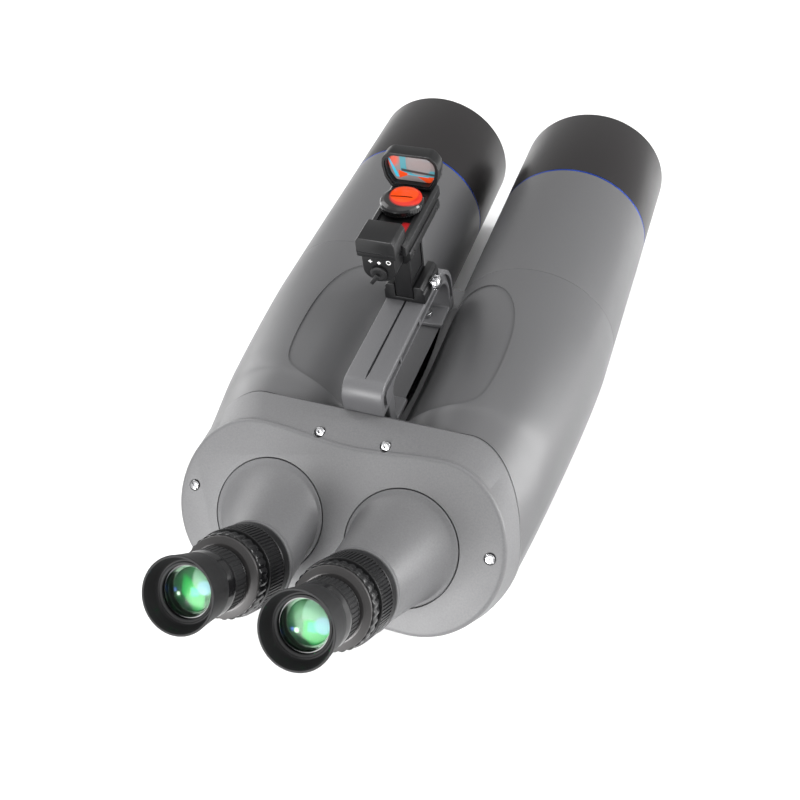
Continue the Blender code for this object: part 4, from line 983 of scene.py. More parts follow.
def make_turret(name, side):
    shift = Vector((side * (EYE_AXIS[0] - TURRET[0]), EYE_AXIS[1] - TURRET[1]))
    base = TURRET_RADIUS - 0.0016
    rings = [circle_ring((0, 0), TURRET_RADIUS - 0.0004, -0.0034),
             circle_ring((0, 0), TURRET_RADIUS, -0.0030)]
    for k in range(5):
        angle = math.radians(22.5 * k)
        rings.append(circle_ring((0, 0), TURRET_RADIUS - 0.0007 * (1 - math.cos(angle)),
                                 -0.0001 + 0.0007 * math.sin(angle)))
    steps = 30
    for k in range(1, steps + 1):
        share = k / steps
        radius = base + (0.0262 - base) * share ** 0.75
        rings.append(circle_ring(shift * share, radius, 0.0006 + 0.0352 * share ** 1.27))
    for radius, height in ((0.0266, 0.0362), (0.0271, 0.0366), (0.0273, 0.0371), (0.0273, 0.0403),
                           (0.0271, 0.0407),
                           (0.0266, 0.0409), (0.0222, 0.0409), (0.0219, 0.0411), (0.0219, 0.064)):
        rings.append(circle_ring(shift, radius, height))
    turret = loft(f"{name}_turret_cone", rings)
    place(turret, on_face(side * TURRET[0], TURRET[1]))
    bore = turned("bore", [(0, 0.09), (0.0204, 0.09), (0.0204, 0.028), (0, 0.028)],
                  on_face(side * EYE_AXIS[0], EYE_AXIS[1]), 96, closed=False)
    carve(turret, bore)
    clean(turret)
    finish(turret, f"{name}_turret", "face_grey", FACE_PAINT, f"{name}_turret", smooth=32)


for name, side in SIDES.items():
    make_turret(name, side)

# %% [markdown]
# ## Focus and lock rings
# The focus ring turns on a thread to move its eyepiece, so it has straight ribs for the fingers. The glossy
# ring above it locks the eyepiece in its holder and has shallow flutes. Both start as turned rings with as
# many steps as they need ribs, and then every other strip of faces is set inwards.

# %% Ribs cut into a turned ring
def cut_ribs(piece, steps, low, high, least_radius, groove, depth, every=2):
    """Sinks every other strip of faces between two heights of a ring that is still upright."""
    def is_groove(centre, normal):
        if not (low < centre.z < high) or math.hypot(centre.x, centre.y) < least_radius:
            return False
        index = int((math.atan2(centre.y, centre.x) % (2 * math.pi)) / (2 * math.pi) * steps)
        return index % every == 0
    count = select_faces(piece, is_groove)
    bpy.ops.mesh.inset(thickness=groove, depth=-depth, use_individual=True)
    done()
    return count


def make_focus_ring(name, side):
    matrix = on_face(side * EYE_AXIS[0], EYE_AXIS[1])
    ribs = 76
    radius = 0.0268
    outline = [(radius, 0.068, 0.0005), (radius, 0.0497, 0.0004), (0.0262, 0.0493), (0.0262, 0.0489),
               (0.0266, 0.0484, 0.0003), (0.0266, 0.0414, 0.0005), (0.0224, 0.0413), (0.0224, 0.065),
               (0.0204, 0.065), (0.0204, 0.068)]
    ring = turned(f"{name}_focus_grip", outline, None, ribs * 2)
    cut_ribs(ring, ribs * 2, 0.050, 0.0675, radius - 0.0001, 0.00016, 0.0007)
    place(ring, matrix)
    finish(ring, f"{name}_focus_ring", "black_metal", BLACK_EYE, f"{name}_focus_ring", smooth=30)


def make_lock_ring(name, side):
    matrix = on_face(side * EYE_AXIS[0], EYE_AXIS[1])
    flutes, fine = 30, 6
    count = flutes * fine
    sections = [(0.0204, 0.0686), (0.0252, 0.0686), (0.0258, 0.0692), (0.0258, 0.0699), (0.0258, 0.0768),
                (0.0254, 0.0776), (0.0246, 0.0779), (0.0204, 0.0779)]
    rings = []
    for radius, height in sections:
        ring = []
        for k in range(count):
            angle = 2 * math.pi * k / count
            wave = abs(math.sin(flutes * angle / 2))
            scallop = 0.0008 * (1 - wave) if radius > 0.0245 else 0.0
            ring.append(((radius - scallop) * math.cos(angle), (radius - scallop) * math.sin(angle), height))
        rings.append(ring)
    piece = loft(f"{name}_lock_grip", rings + rings[:1], caps=False)
    place(piece, matrix)
    finish(piece, f"{name}_lock_ring", "black_metal", BLACK_GLOSS, f"{name}_lock_ring", smooth=45)


for name, side in SIDES.items():
    make_focus_ring(name, side)
    make_lock_ring(name, side)

# %% [markdown]
# ## Eyepiece holders and eyepieces
# The holder is a plain sleeve with a satin collar that clamps the eyepiece. The eyepiece above it has a
# ribbed rubber band, a polished chamfer and a flared rubber eyecup that keeps side light from the eye.

# %% Holders and bodies
def make_holder(name, side):
    outline = [(0.0202, 0.0811, 0.0006), (0.0244, 0.0797, 0.0006), (0.0245, 0.0783, 0.0002), (0.0201, 0.0783),
               (0.0201, 0.030, 0.0003), (0.0162, 0.030), (0.0162, 0.0811)]
    holder = turned(f"{name}_holder_sleeve", outline, on_face(side * EYE_AXIS[0], EYE_AXIS[1]), 144)
    finish(holder, f"{name}_holder", "gunmetal", DARK_GREY_METAL, f"{name}_eyepiece_holder")


def make_eyepiece_body(name, side):
    matrix = on_face(side * EYE_AXIS[0], EYE_AXIS[1])
    barrel = [(0.0172, 0.1165, 0.0004), (0.0172, 0.1057), (0.0186, 0.1055, 0.0003), (0.0196, 0.0995, 0.0004),
              (0.0197, 0.0978, 0.0003), (0.0192, 0.0974), (0.0183, 0.0974), (0.0183, 0.0846),
              (0.0192, 0.0843, 0.0003), (0.0184, 0.0814, 0.0004), (0.01587, 0.0813),
              (0.01587, 0.0470, 0.0006),
              (0.0140, 0.0470), (0.0140, 0.0550), (0.0115, 0.0550), (0.0125, 0.1105), (0.0143, 0.1105),
              (0.0143, 0.1165)]
    body = turned(f"{name}_eyepiece_barrel", barrel, matrix, 144)
    finish(body, f"{name}_holder", "black_metal", BLACK_GLOSS, f"{name}_eyepiece_body")
    ribs = 44
    band = [(0.0194, 0.0970, 0.0003), (0.0194, 0.0850, 0.0003), (0.0184, 0.0848), (0.0184, 0.0972)]
    grip = turned(f"{name}_rubber_band", band, None, ribs * 2)
    cut_ribs(grip, ribs * 2, 0.0853, 0.0967, 0.0193, 0.00016, 0.0005)
    place(grip, matrix)
    finish(grip, f"{name}_holder", "rubber", RUBBER, smooth=30)


def make_eyecup(name, side):
    outline = [(0.0222, 0.1275, 0.0005), (0.0216, 0.1235), (0.0204, 0.1125, 0.002), (0.0199, 0.1062, 0.0005),
               (0.0176, 0.1060), (0.0176, 0.1168), (0.0150, 0.1168, 0.0003), (0.0150, 0.1182, 0.0005),
               (0.0165, 0.1186, 0.0004), (0.0168, 0.1180, 0.0004), (0.0178, 0.1180, 0.0005),
               (0.0186, 0.1196, 0.0006), (0.0199, 0.1236, 0.0004), (0.0208, 0.1275, 0.0004)]
    cup = turned(f"{name}_eyecup_rubber", outline, on_face(side * EYE_AXIS[0], EYE_AXIS[1]), 144)
    finish(cup, f"{name}_holder", "rubber", RUBBER, f"{name}_eyecup")


for name, side in SIDES.items():
    make_holder(name, side)
    make_eyepiece_body(name, side)
    make_eyecup(name, side)

# %% [markdown]
# ## Eye lenses
# Coatings on the many lens surfaces inside an eyepiece reflect the room and the prism behind it: a bright
# green block, a teal patch and a pale violet disc, on a nearly black green. These painted reflections, with
# small painted white and blue glints, are drawn as soft discs and straight-sided patches on one lens set
# below the clear outer lens, and they glow a little.

# %% Patch and disc masks
def make_disc_group():
    group, start, end = new_group("soft disc", [
        ("Place", "NodeSocketVector", (0, 0, 0)), ("Centre", "NodeSocketVector", (0, 0, 0)),
        ("Radius", "NodeSocketFloat", 0.004), ("Softness", "NodeSocketFloat", 0.001),
    ], [("Mask", "NodeSocketFloat")])
    reach = node(group, "ShaderNodeVectorMath", operation="DISTANCE")
    wire(group, start.outputs["Place"], reach.inputs[0])
    wire(group, start.outputs["Centre"], reach.inputs[1])
    inside = node(group, "ShaderNodeMath", operation="SUBTRACT")
    wire(group, start.outputs["Radius"], inside.inputs[0])
    wire(group, reach.outputs["Value"], inside.inputs[1])
    soft = node(group, "ShaderNodeMath", operation="DIVIDE")
    wire(group, inside.outputs[0], soft.inputs[0])
    wire(group, start.outputs["Softness"], soft.inputs[1])
    mask = node(group, "ShaderNodeMath", operation="ADD", in_1=0.5, use_clamp=True)
    wire(group, soft.outputs[0], mask.inputs[0])
    wire(group, mask.outputs[0], end.inputs["Mask"])
    return group


def make_side_group():
    group, start, end = new_group("straight side", [
        ("Place", "NodeSocketVector", (0, 0, 0)), ("Direction", "NodeSocketVector", (1, 0, 0)),
        ("Offset", "NodeSocketFloat", 0.0), ("Softness", "NodeSocketFloat", 0.0005),
    ], [("Mask", "NodeSocketFloat")])
    along = node(group, "ShaderNodeVectorMath", operation="DOT_PRODUCT")
    wire(group, start.outputs["Place"], along.inputs[0])
    wire(group, start.outputs["Direction"], along.inputs[1])
    inside = node(group, "ShaderNodeMath", operation="SUBTRACT")
    wire(group, start.outputs["Offset"], inside.inputs[0])
    wire(group, along.outputs["Value"], inside.inputs[1])
    soft = node(group, "ShaderNodeMath", operation="DIVIDE")
    wire(group, inside.outputs[0], soft.inputs[0])
    wire(group, start.outputs["Softness"], soft.inputs[1])
    mask = node(group, "ShaderNodeMath", operation="ADD", in_1=0.5, use_clamp=True)
    wire(group, soft.outputs[0], mask.inputs[0])
    wire(group, mask.outputs[0], end.inputs["Mask"])
    return group


DISC = make_disc_group()
STRAIGHT = make_side_group()


# %% Painted reflections inside an eyepiece
def reflection_material(name, layers, base, origin, roughness=0.12, emission=0.28, coat=0.0):
    """Painted reflections: colours laid over a dark base, each by the mask of a disc or of a straight-sided
    patch, and made to glow a little.
    """
    material = bpy.data.materials.new(name)
    material.use_nodes = True
    tree = material.node_tree
    shader = tree.nodes["Principled BSDF"]
    shader.inputs["Emission Strength"].default_value = emission
    shader.inputs["Coat Weight"].default_value = coat
    shader.inputs["Specular IOR Level"].default_value = 0.25
    coords = node(tree, "ShaderNodeTexCoord")
    flat = node(tree, "ShaderNodeVectorMath", operation="SUBTRACT")
    flat.inputs[1].default_value = origin
    wire(tree, coords.outputs["Object"], flat.inputs[0])
    current = None
    for kind, colour, weight, shape in layers:
        if kind == "disc":
            mask = group_node(tree, DISC, **shape)
            wire(tree, flat.outputs[0], mask.inputs["Place"])
            level = mask.outputs["Mask"]
        else:
            level = None
            for direction, offset in shape:
                edge = group_node(tree, STRAIGHT, Direction=direction, Offset=offset)
                wire(tree, flat.outputs[0], edge.inputs["Place"])
                if level is None:
                    level = edge.outputs["Mask"]
                else:
                    both = node(tree, "ShaderNodeMath", operation="MULTIPLY")
                    wire(tree, level, both.inputs[0])
                    wire(tree, edge.outputs["Mask"], both.inputs[1])
                    level = both.outputs[0]
        strength = node(tree, "ShaderNodeMath", operation="MULTIPLY", in_1=weight)
        wire(tree, level, strength.inputs[0])
        mix = node(tree, "ShaderNodeMix", data_type="RGBA")
        mix.inputs[6].default_value = (*base, 1)
        mix.inputs[7].default_value = (*colour, 1)
        wire(tree, strength.outputs[0], mix.inputs[0])
        if current:
            wire(tree, current, mix.inputs[6])
        current = mix.outputs[2]
    wire(tree, current, shader.inputs["Base Color"])
    wire(tree, current, shader.inputs["Emission Color"])
    gloss = group_node(tree, MOTTLE, Scale=200.0, Low=roughness * 0.7, High=roughness * 1.3)
    wire(tree, gloss.outputs["Value"], shader.inputs["Roughness"])
    return material


def face_vector(x, y):
    """A direction or offset across the eyepiece: x to the right, y up along the slanted face."""
    return tuple(Vector((x, 0, 0)) + UP_FACE * y)


def patch(corners):
    """The straight sides of a convex patch, its corners going round clockwise."""
    sides = []
    for i, (x, y) in enumerate(corners):
        next_x, next_y = corners[(i + 1) % len(corners)]
        normal = Vector((-(next_y - y), next_x - x)).normalized()
        sides.append((face_vector(normal.x, normal.y), normal.x * x + normal.y * y))
    return sides


# Colours of the painted reflections and glints in the eyepieces.
DARK_GREEN = (0.004, 0.030, 0.012)
MID_GREEN = (0.008, 0.085, 0.028)
LEAF_GREEN = (0.003, 0.24, 0.045)
TEAL = (0.03, 0.42, 0.36)
PALE = (0.24, 0.30, 0.28)
LILAC = (0.30, 0.33, 0.66)
WHITE_GLINT = (1.0, 1.0, 0.95)
BLUE_GLINT = (0.15, 0.2, 0.8)


def eye_reflection_layers(name):
    mm = 0.001
    if name == "right":
        return [
            ("disc", MID_GREEN, 0.8, dict(Centre=face_vector(-2 * mm, 3 * mm), Radius=9 * mm,
                                          Softness=5 * mm)),
            ("disc", PALE, 0.75, dict(Centre=face_vector(4.5 * mm, 5.5 * mm), Radius=9.0 * mm,
                                      Softness=1.2 * mm)),
            ("patch", LEAF_GREEN, 0.95, patch([(-2.6 * mm, 0.5 * mm), (1.0 * mm, 1.8 * mm),
                                               (12 * mm, 1.0 * mm),
                                               (12.5 * mm, -5.5 * mm), (6.0 * mm, -12.5 * mm),
                                               (-2.4 * mm, -8.5 * mm)])),
            ("patch", TEAL, 0.8, patch([(-0.2 * mm, 0.2 * mm), (4.2 * mm, 1.2 * mm), (5.2 * mm, -4.5 * mm),
                                        (0.2 * mm, -4.8 * mm)])),
            ("disc", LILAC, 0.75, dict(Centre=face_vector(8.2 * mm, 0.2 * mm), Radius=4.6 * mm,
                                       Softness=1.5 * mm)),
            ("disc", WHITE_GLINT, 1.0, dict(Centre=face_vector(-6.0 * mm, -5.8 * mm), Radius=1.5 * mm,
                                            Softness=0.5 * mm)),
            ("disc", BLUE_GLINT, 0.9, dict(Centre=face_vector(-8.6 * mm, -5.8 * mm), Radius=1.0 * mm,
                                           Softness=0.8 * mm)),
        ]
    return [
        ("disc", MID_GREEN, 0.8, dict(Centre=face_vector(1 * mm, 4 * mm), Radius=9 * mm, Softness=5 * mm)),
        ("patch", LEAF_GREEN, 0.95, patch([(-7.0 * mm, 7.0 * mm), (7.5 * mm, 0.5 * mm), (7.8 * mm, -9.0 * mm),
                                           (3.5 * mm, -12.5 * mm), (-6.5 * mm, -3.0 * mm)])),
        ("disc", PALE, 0.75, dict(Centre=face_vector(7.2 * mm, 7.4 * mm), Radius=8.6 * mm,
                                  Softness=1.2 * mm)),
        ("patch", TEAL, 0.8, patch([(-1.0 * mm, 1.2 * mm), (3.6 * mm, 0.6 * mm), (4.2 * mm, -3.2 * mm),
                                    (-0.6 * mm, -4.4 * mm)])),
        ("disc", LILAC, 0.7, dict(Centre=face_vector(6.4 * mm, 2.2 * mm), Radius=3.9 * mm,
                                  Softness=1.6 * mm)),
        ("disc", WHITE_GLINT, 1.0, dict(Centre=face_vector(-8.4 * mm, -4.6 * mm), Radius=1.1 * mm,
                                        Softness=0.5 * mm)),
        ("disc", BLUE_GLINT, 0.8, dict(Centre=face_vector(-11.0 * mm, -3.0 * mm), Radius=1.0 * mm,
                                       Softness=0.8 * mm)),
    ]


# %% Lens stacks
def make_eye_lenses(name, side):
    matrix = on_face(side * EYE_AXIS[0], EYE_AXIS[1])
    centre = on_face(side * EYE_AXIS[0], EYE_AXIS[1], 0.110).translation
    outer = lens(f"{name}_eye_glass", 0.0140, 0.1116, 0.1134, 0.0, 0.0023, matrix)
    finish(outer, f"{name}_holder", "coated_green", EYE_GLASS, f"{name}_eye_lens")
    inner = lens(f"{name}_inner_lens", 0.0124, 0.1080, 0.1096, 0.0, 0.0012, matrix)
    # The inner lens carries the painted reflections and glints, and they glow a little.
    painted_reflections = reflection_material(f"{name} inner lens painted reflections", eye_reflection_layers(name), DARK_GREEN, centre)
    finish(inner, f"{name}_holder", "coated_green", painted_reflections)
    field = lens(f"{name}_field_glass", 0.0135, 0.0495, 0.0535, -0.001, 0.001, matrix)
    finish(field, f"{name}_holder", "glass", CLEAR_GLASS, f"{name}_field_lens")


for name, side in SIDES.items():
    make_eye_lenses(name, side)

# %% [markdown]
# ## Carry handle
# The handle is one casting: a flat bar that turns down at both ends and stands on two inward feet bolted to
# the web. Its side view is drawn once and raised to the full width, then its edges are broken. A narrow
# slit runs along the top, and each side has a shallow channel split by ribs, which saves weight.

# %% Handle outline
HANDLE_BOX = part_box("carry_handle")
BAR_TOP = HANDLE_BOX[1][2]
HANDLE_REAR, HANDLE_FRONT = HANDLE_BOX[0][1], HANDLE_BOX[1][1]
HANDLE_HALF = HANDLE_BOX[1][0]
WEB_TOP = HANDLE_BOX[0][2]
FRONT_CORNER, REAR_CORNER = 0.031, 0.012


def arc(centre, radius, start, end, steps):
    angles = [math.radians(start + (end - start) * k / steps) for k in range(steps + 1)]
    return [(centre[0] + radius * math.cos(a), centre[1] + radius * math.sin(a)) for a in angles]


def bar_line(depth):
    """A line inside the handle's outer edge, from the front leg over the bar to the rear leg."""
    front = arc((HANDLE_FRONT - FRONT_CORNER, BAR_TOP - FRONT_CORNER), FRONT_CORNER - depth, 0, 90, 20)
    rear = arc((HANDLE_REAR + REAR_CORNER, BAR_TOP - REAR_CORNER), REAR_CORNER - depth, 90, 180, 12)
    return front, rear


def handle_outline():
    flange_top, flange_front = 0.1336, -0.1048
    front, rear = bar_line(0.0)
    foot = WEB_TOP + 0.004
    inner_front, inner_rear, under = HANDLE_FRONT - 0.010, flange_front + 0.010, BAR_TOP - 0.011
    notch = [(HANDLE_REAR, flange_top), (-0.1098, flange_top), (flange_front, flange_top),
             (flange_front, WEB_TOP), (inner_rear + 0.020, WEB_TOP), (inner_rear + 0.020, foot),
             (inner_rear, foot)]
    inside_rear = arc((inner_rear + 0.008, under - 0.008), 0.008, 180, 90, 8)
    inside_front = arc((inner_front - 0.021, under - 0.021), 0.021, 90, 0, 14)
    front_foot = [(inner_front, foot), (inner_front - 0.020, foot), (inner_front - 0.020, WEB_TOP)]
    return [(HANDLE_FRONT, WEB_TOP)] + front + rear + notch + inside_rear + inside_front + front_foot


def side_channel(depth, low_depth):
    """Three closed outlines of the channel: front leg with corner, middle of the bar, and rear leg."""
    outer_front, outer_rear = bar_line(depth)
    inner_front, inner_rear = bar_line(low_depth)
    top, low = BAR_TOP - depth, BAR_TOP - low_depth
    leg_foot = WEB_TOP + 0.010
    rib = 0.0013
    first, second = -0.0387, -0.0769
    front_part = ([(HANDLE_FRONT - depth, leg_foot)] + outer_front + [(first + rib, top), (first + rib, low)]
                  + inner_front[::-1] + [(HANDLE_FRONT - low_depth, leg_foot)])
    middle_part = [(first - rib, top), (second + rib, top), (second + rib, low), (first - rib, low)]
    rear_part = ([(second - rib, top)] + outer_rear + [(HANDLE_REAR + depth, 0.1375),
                                                       (HANDLE_REAR + low_depth, 0.1375)]
                 + inner_rear[::-1] + [(second - rib, low)])
    return front_part, middle_part, rear_part


# %% Handle and its bolts
def make_handle():
    handle = plate("handle_casting", handle_outline(), -HANDLE_HALF, HANDLE_HALF, YZ_SIDE, edge=0.0011)
    for side in (-1, 1):
        for outline in side_channel(0.0033, 0.0080):
            reach = sorted((side * (HANDLE_HALF - 0.0024), side * (HANDLE_HALF + 0.01)))
            carve(handle, plate("channel", outline, reach[0], reach[1], YZ_SIDE, 0))
    slit = plate("slit", [(-0.0009, -0.098), (0.0, -0.1055), (0.0009, -0.098), (0.0009, -0.0005),
                          (-0.0009, -0.0005)],
                 BAR_TOP - 0.003, BAR_TOP + 0.01, None, 0)
    carve(handle, slit)
    arch = plate("arch", arc((0.0, 0.1336), 0.0042, 0, 180, 16), -HANDLE_REAR - 0.0004, 0.2, across(0), 0)
    carve(handle, arch)
    for node_name in ("handle_bolt_rear", "handle_bolt_front"):
        low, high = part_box(node_name)
        frame_here = Matrix.Translation((0, (low[1] + high[1]) / 2, WEB_TOP + 0.004))
        hole = turned("hole", [(0, 0.002), (0.0027, 0.002), (0.0027, -0.02), (0, -0.02)], frame_here, 40,
                      closed=False)
        carve(handle, hole)
        make_screw(node_name + "_head", frame_here, 0.0045, 0.0040, 0.0003, 0.0025, -0.0037, "socket",
                   "chassis",
                   node_name, STEEL)
    clean(handle)
    finish(handle, "chassis", "body_grey", HANDLE_PAINT, "carry_handle", smooth=32)


make_handle()

# %% [markdown]
# ## Mounting foot
# The foot below the web is a flat plate on a narrow neck, with two plain round holes where a fork mount or
# a tripod plate screws on. Two screws fix it from below.

# %% Foot
def make_foot():
    low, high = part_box("mounting_foot")
    half_base, neck = high[0], 0.015
    outline = [(half_base, low[2]), (half_base, low[2] + 0.0068), (half_base - 0.0012, low[2] + 0.008),
               (neck + 0.003, low[2] + 0.008), (neck, low[2] + 0.011), (neck, high[2])]
    outline += [(-x, z) for x, z in reversed(outline)]
    foot = plate("dovetail_foot", outline, -high[1], -low[1], Matrix.Rotation(math.pi / 2, 4, "X"),
                 edge=0.0006)
    for y in (-0.030, 0.030):
        hole = [(0, -0.01), (0.0048, -0.01), (0.0048, 0.0), (0.0040, 0.0008), (0.0040, 0.014), (0, 0.016)]
        carve(foot, turned("thread", hole, Matrix.Translation((0, y, low[2])), 48, closed=False))
    for node_name in ("foot_screw_rear", "foot_screw_front"):
        screw_low, screw_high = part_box(node_name)
        y = (screw_low[1] + screw_high[1]) / 2
        radius = (screw_high[0] - screw_low[0]) / 2
        hole = [(0, -0.01), (radius + 0.0004, -0.01), (radius + 0.0004, screw_high[2] + 0.0004),
                (0, screw_high[2] + 0.0004)]
        carve(foot, turned("pocket", hole, Matrix.Translation((0, y, 0)), 48, closed=False))
    clean(foot)
    finish(foot, "chassis", "black_metal", BLACK_SATIN, "mounting_foot", smooth=30)


make_foot()

# %% [markdown]
# ## Finder shoe, thumb screw and post
# The reflex finder stands on a post that slides into a small channel shoe and is held by a bright thumb
# screw. The shoe and post are moulded in black plastic, and the knurling of the screw is cut like the ribs
# of the focus rings.

# %% Shoe, screw and post
def make_shoe():
    low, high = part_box("finder_shoe")
    half, base, top = high[0], low[2], high[2]
    slot, floor = 0.0069, base + 0.0032
    right = [(half, base), (half, base + 0.0080), (half - 0.0010, base + 0.0092),
             (half - 0.0010, top - 0.0022),
             (half - 0.0030, top), (slot + 0.0008, top), (slot, top - 0.0008), (slot, floor)]
    outline = right + [(-x, z) for x, z in reversed(right)]
    shoe = plate("dovetail_shoe", outline, -high[1], -low[1], across(0), edge=0.0004)
    step = plate("step", [(-slot, base + 0.0034), (slot, base + 0.0034), (slot, base + 0.0044),
                          (-slot, base + 0.0044)],
                 -low[1] - 0.0012, -low[1] + 0.01, across(0), 0)
    carve(shoe, step)
    clean(shoe)
    finish(shoe, "chassis", "black_plastic", BLACK_PLASTIC, "finder_shoe", smooth=30)


def make_thumb_screw():
    low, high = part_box("finder_thumb_screw")
    centre = Vector((0, (low[1] + high[1]) / 2, (low[2] + high[2]) / 2))
    head = (high[2] - low[2]) / 2
    start, end = low[0], high[0]
    outline = [(0, end), (head * 0.55, end - 0.0002, 0.0004), (head * 0.92, end - 0.0012, 0.0005),
               (head, end - 0.0022, 0.0003), (head, end - 0.0052, 0.0004), (0.0036, end - 0.0058, 0.0003),
               (0.0036, end - 0.0066, 0.0002), (0.0019, end - 0.0066), (0.0019, start + 0.0004), (0, start)]
    screw = turned("thumb_screw", outline, None, 72, closed=False)
    cut_ribs(screw, 72, end - 0.0050, end - 0.0023, head * 0.97, 0.00006, 0.0002)
    place(screw, Matrix.Translation(centre) @ Matrix.Rotation(math.pi / 2, 4, "Y"))
    finish(screw, "finder_thumb_screw", "steel", STEEL, "finder_thumb_screw", smooth=30)


def make_post():
    low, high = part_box("finder_post")
    outline = [(low[1], low[2]), (high[1], low[2]), (high[1], high[2]), (low[1], high[2])]
    post = plate("finder_stem", outline, low[0], high[0], YZ_SIDE, edge=0.0010)
    for side in (-1, 1):
        web = sorted((side * (high[0] - 0.0006), side * (high[0] + 0.01)))
        panel = [(low[1] + 0.0035, low[2] + 0.0135), (high[1] - 0.0035, low[2] + 0.0135),
                 (high[1] - 0.0035, high[2] - 0.0035), (low[1] + 0.0035, high[2] - 0.0035)]
        carve(post, plate("panel", panel, web[0], web[1], YZ_SIDE, 0))
    clean(post)
    finish(post, "chassis", "black_plastic", BLACK_PLASTIC, "finder_post", smooth=30)


make_shoe()
make_thumb_screw()
make_post()

# %% [markdown]
# ## Reflex sight: clamp and base
# The sight is a small open tray on a rail clamp. A block at the rear holds the lamp, and below it sits the
# switch that picks a cross, a square or a ring as the aiming mark. The long sides are milled bright at an
# angle, and a strong painted highlight lightens their edges, so they catch the light next to the dark slot
# between clamp and tray.

# %% Clamp, base and selector
# A strong grey painted highlight along the edges of the sight's black parts.
SIGHT_METAL = surface("milled black anodised", (0.0075, 0.0075, 0.008), 0.34, metallic=0.2, contrast=0.2,
                      bump=0.15,
                      edge=0.7, edge_colour=(0.12, 0.12, 0.125), specular=0.35)


def make_clamp():
    low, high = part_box("sight_clamp")
    half = high[0]
    outline = [(half - 0.0035, low[2]), (half, low[2] + 0.0040), (half, high[2] - 0.0007),
               (half - 0.0007, high[2])]
    outline += [(-x, z) for x, z in reversed(outline)]
    clamp = plate("rail_clamp", outline, -high[1], -low[1], across(0), edge=0.0004)
    for node_name in ("sight_clamp_screw_rear", "sight_clamp_screw_front"):
        screw_low, screw_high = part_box(node_name)
        y, z = (screw_low[1] + screw_high[1]) / 2, (screw_low[2] + screw_high[2]) / 2
        across_x = Matrix.Translation((0, y, z)) @ Matrix.Rotation(math.pi / 2, 4, "Y")
        hole = [(0, 0.03), (0.0022, 0.03), (0.0022, 0.0158), (0.0019, 0.0154), (0.0019, 0.006), (0, 0.006)]
        carve(clamp, turned("hole", hole, across_x, 36, closed=False))
        make_screw(node_name + "_head", across_x, 0.0016, 0.0155, 0.0130, 0.0015, 0.0070, "socket", "chassis",
                   node_name, DARK_GREY_METAL)
    clean(clamp)
    finish(clamp, "chassis", "black_metal", SIGHT_METAL, "sight_clamp", smooth=30)


def make_sight_base():
    low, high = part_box("sight_base")
    rear, front = low[1], high[1]
    clamp_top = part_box("sight_clamp")[1][2]
    tray_low, tray_high = clamp_top + 0.0022, clamp_top + 0.0107
    half = 0.016
    tray = [(half, tray_low), (half, tray_high - 0.0020), (half - 0.0020, tray_high)]
    tray += [(-x, z) for x, z in reversed(tray)]
    base = plate("sight_tray", tray, -front, -(rear + 0.011), across(0), edge=0.0004)
    rail = block("rail", (-0.012, rear + 0.0175, clamp_top + 0.0003),
                 (0.012, front - 0.004, tray_low + 0.001), 0)
    well = block("well", (-0.0115, -0.0430, tray_high - 0.0018), (0.0115, -0.0002, tray_high + 0.01), 0)
    block_top = high[2]
    lamp_block = [(0.0130, tray_low + 0.0040), (0.0134, tray_high + 0.0002), (0.0130, block_top - 0.0030),
                  (0.0110, block_top)]
    lamp_block += [(-x, z) for x, z in reversed(lamp_block)]
    lamp = plate("lamp_block", lamp_block, -(rear + 0.020), -rear, across(0), edge=0.0006)
    groove = plate("groove", [(-0.02, tray_low + 0.0074), (0.02, tray_low + 0.0074),
                              (0.02, tray_low + 0.0082),
                              (-0.02, tray_low + 0.0082)], -rear - 0.0005, -rear + 0.01, across(0), 0)
    carve(lamp, groove)
    boss_shape = [(-0.011, tray_low + 0.0050), (-0.011, tray_low - 0.0075)]
    boss_shape += [(0.011 * math.cos(math.radians(a)), tray_low - 0.0075 + 0.0085 * math.sin(math.radians(a)))
                   for a in range(195, 346, 15)]
    boss_shape += [(0.011, tray_low - 0.0075), (0.011, tray_low + 0.0050)]
    boss = plate("switch_boss", boss_shape, -(rear + 0.0165), -(rear + 0.002), across(0), edge=0.0005)
    for part in (rail, lamp, boss):
        carve(base, part, "UNION")
    carve(base, well)
    clean(base)
    finish(base, "chassis", "black_metal", SIGHT_METAL, "sight_base", smooth=30)
    return tray_low, tray_high, rear


TRAY_LOW, TRAY_HIGH, SIGHT_REAR = make_sight_base()
make_clamp()


# %% Selector and its marks
def make_selector():
    pivot = Matrix.Translation((0, SIGHT_REAR + 0.002,
                                TRAY_LOW - 0.009)) @ Matrix.Rotation(math.pi / 2, 4, "X")
    knob = turned("switch_disc", [(0, 0.0019), (0.0040, 0.0022, 0.0003), (0.0056, 0.0019, 0.0004),
                                  (0.0059, 0.0003, 0.0003),
                                  (0.0015, 0.0003), (0.0015, -0.0045), (0, -0.0045)], None, 72, closed=False)
    cut_ribs(knob, 72, 0.0006, 0.0016, 0.0056, 0.00005, 0.0002)
    place(knob, pivot)
    lever = plate("lever", [(-0.0016, 0.0), (-0.0013, -0.0092), (0.0013, -0.0092), (0.0016, 0.0)], 0.0006,
                  0.0035,
                  pivot @ Matrix.Rotation(math.radians(-35), 4, "Z"), 0.0003)
    carve(knob, lever, "UNION")
    clean(knob)
    finish(knob, "reticle_selector", "black_plastic", BLACK_PLASTIC, "reticle_selector", smooth=30)


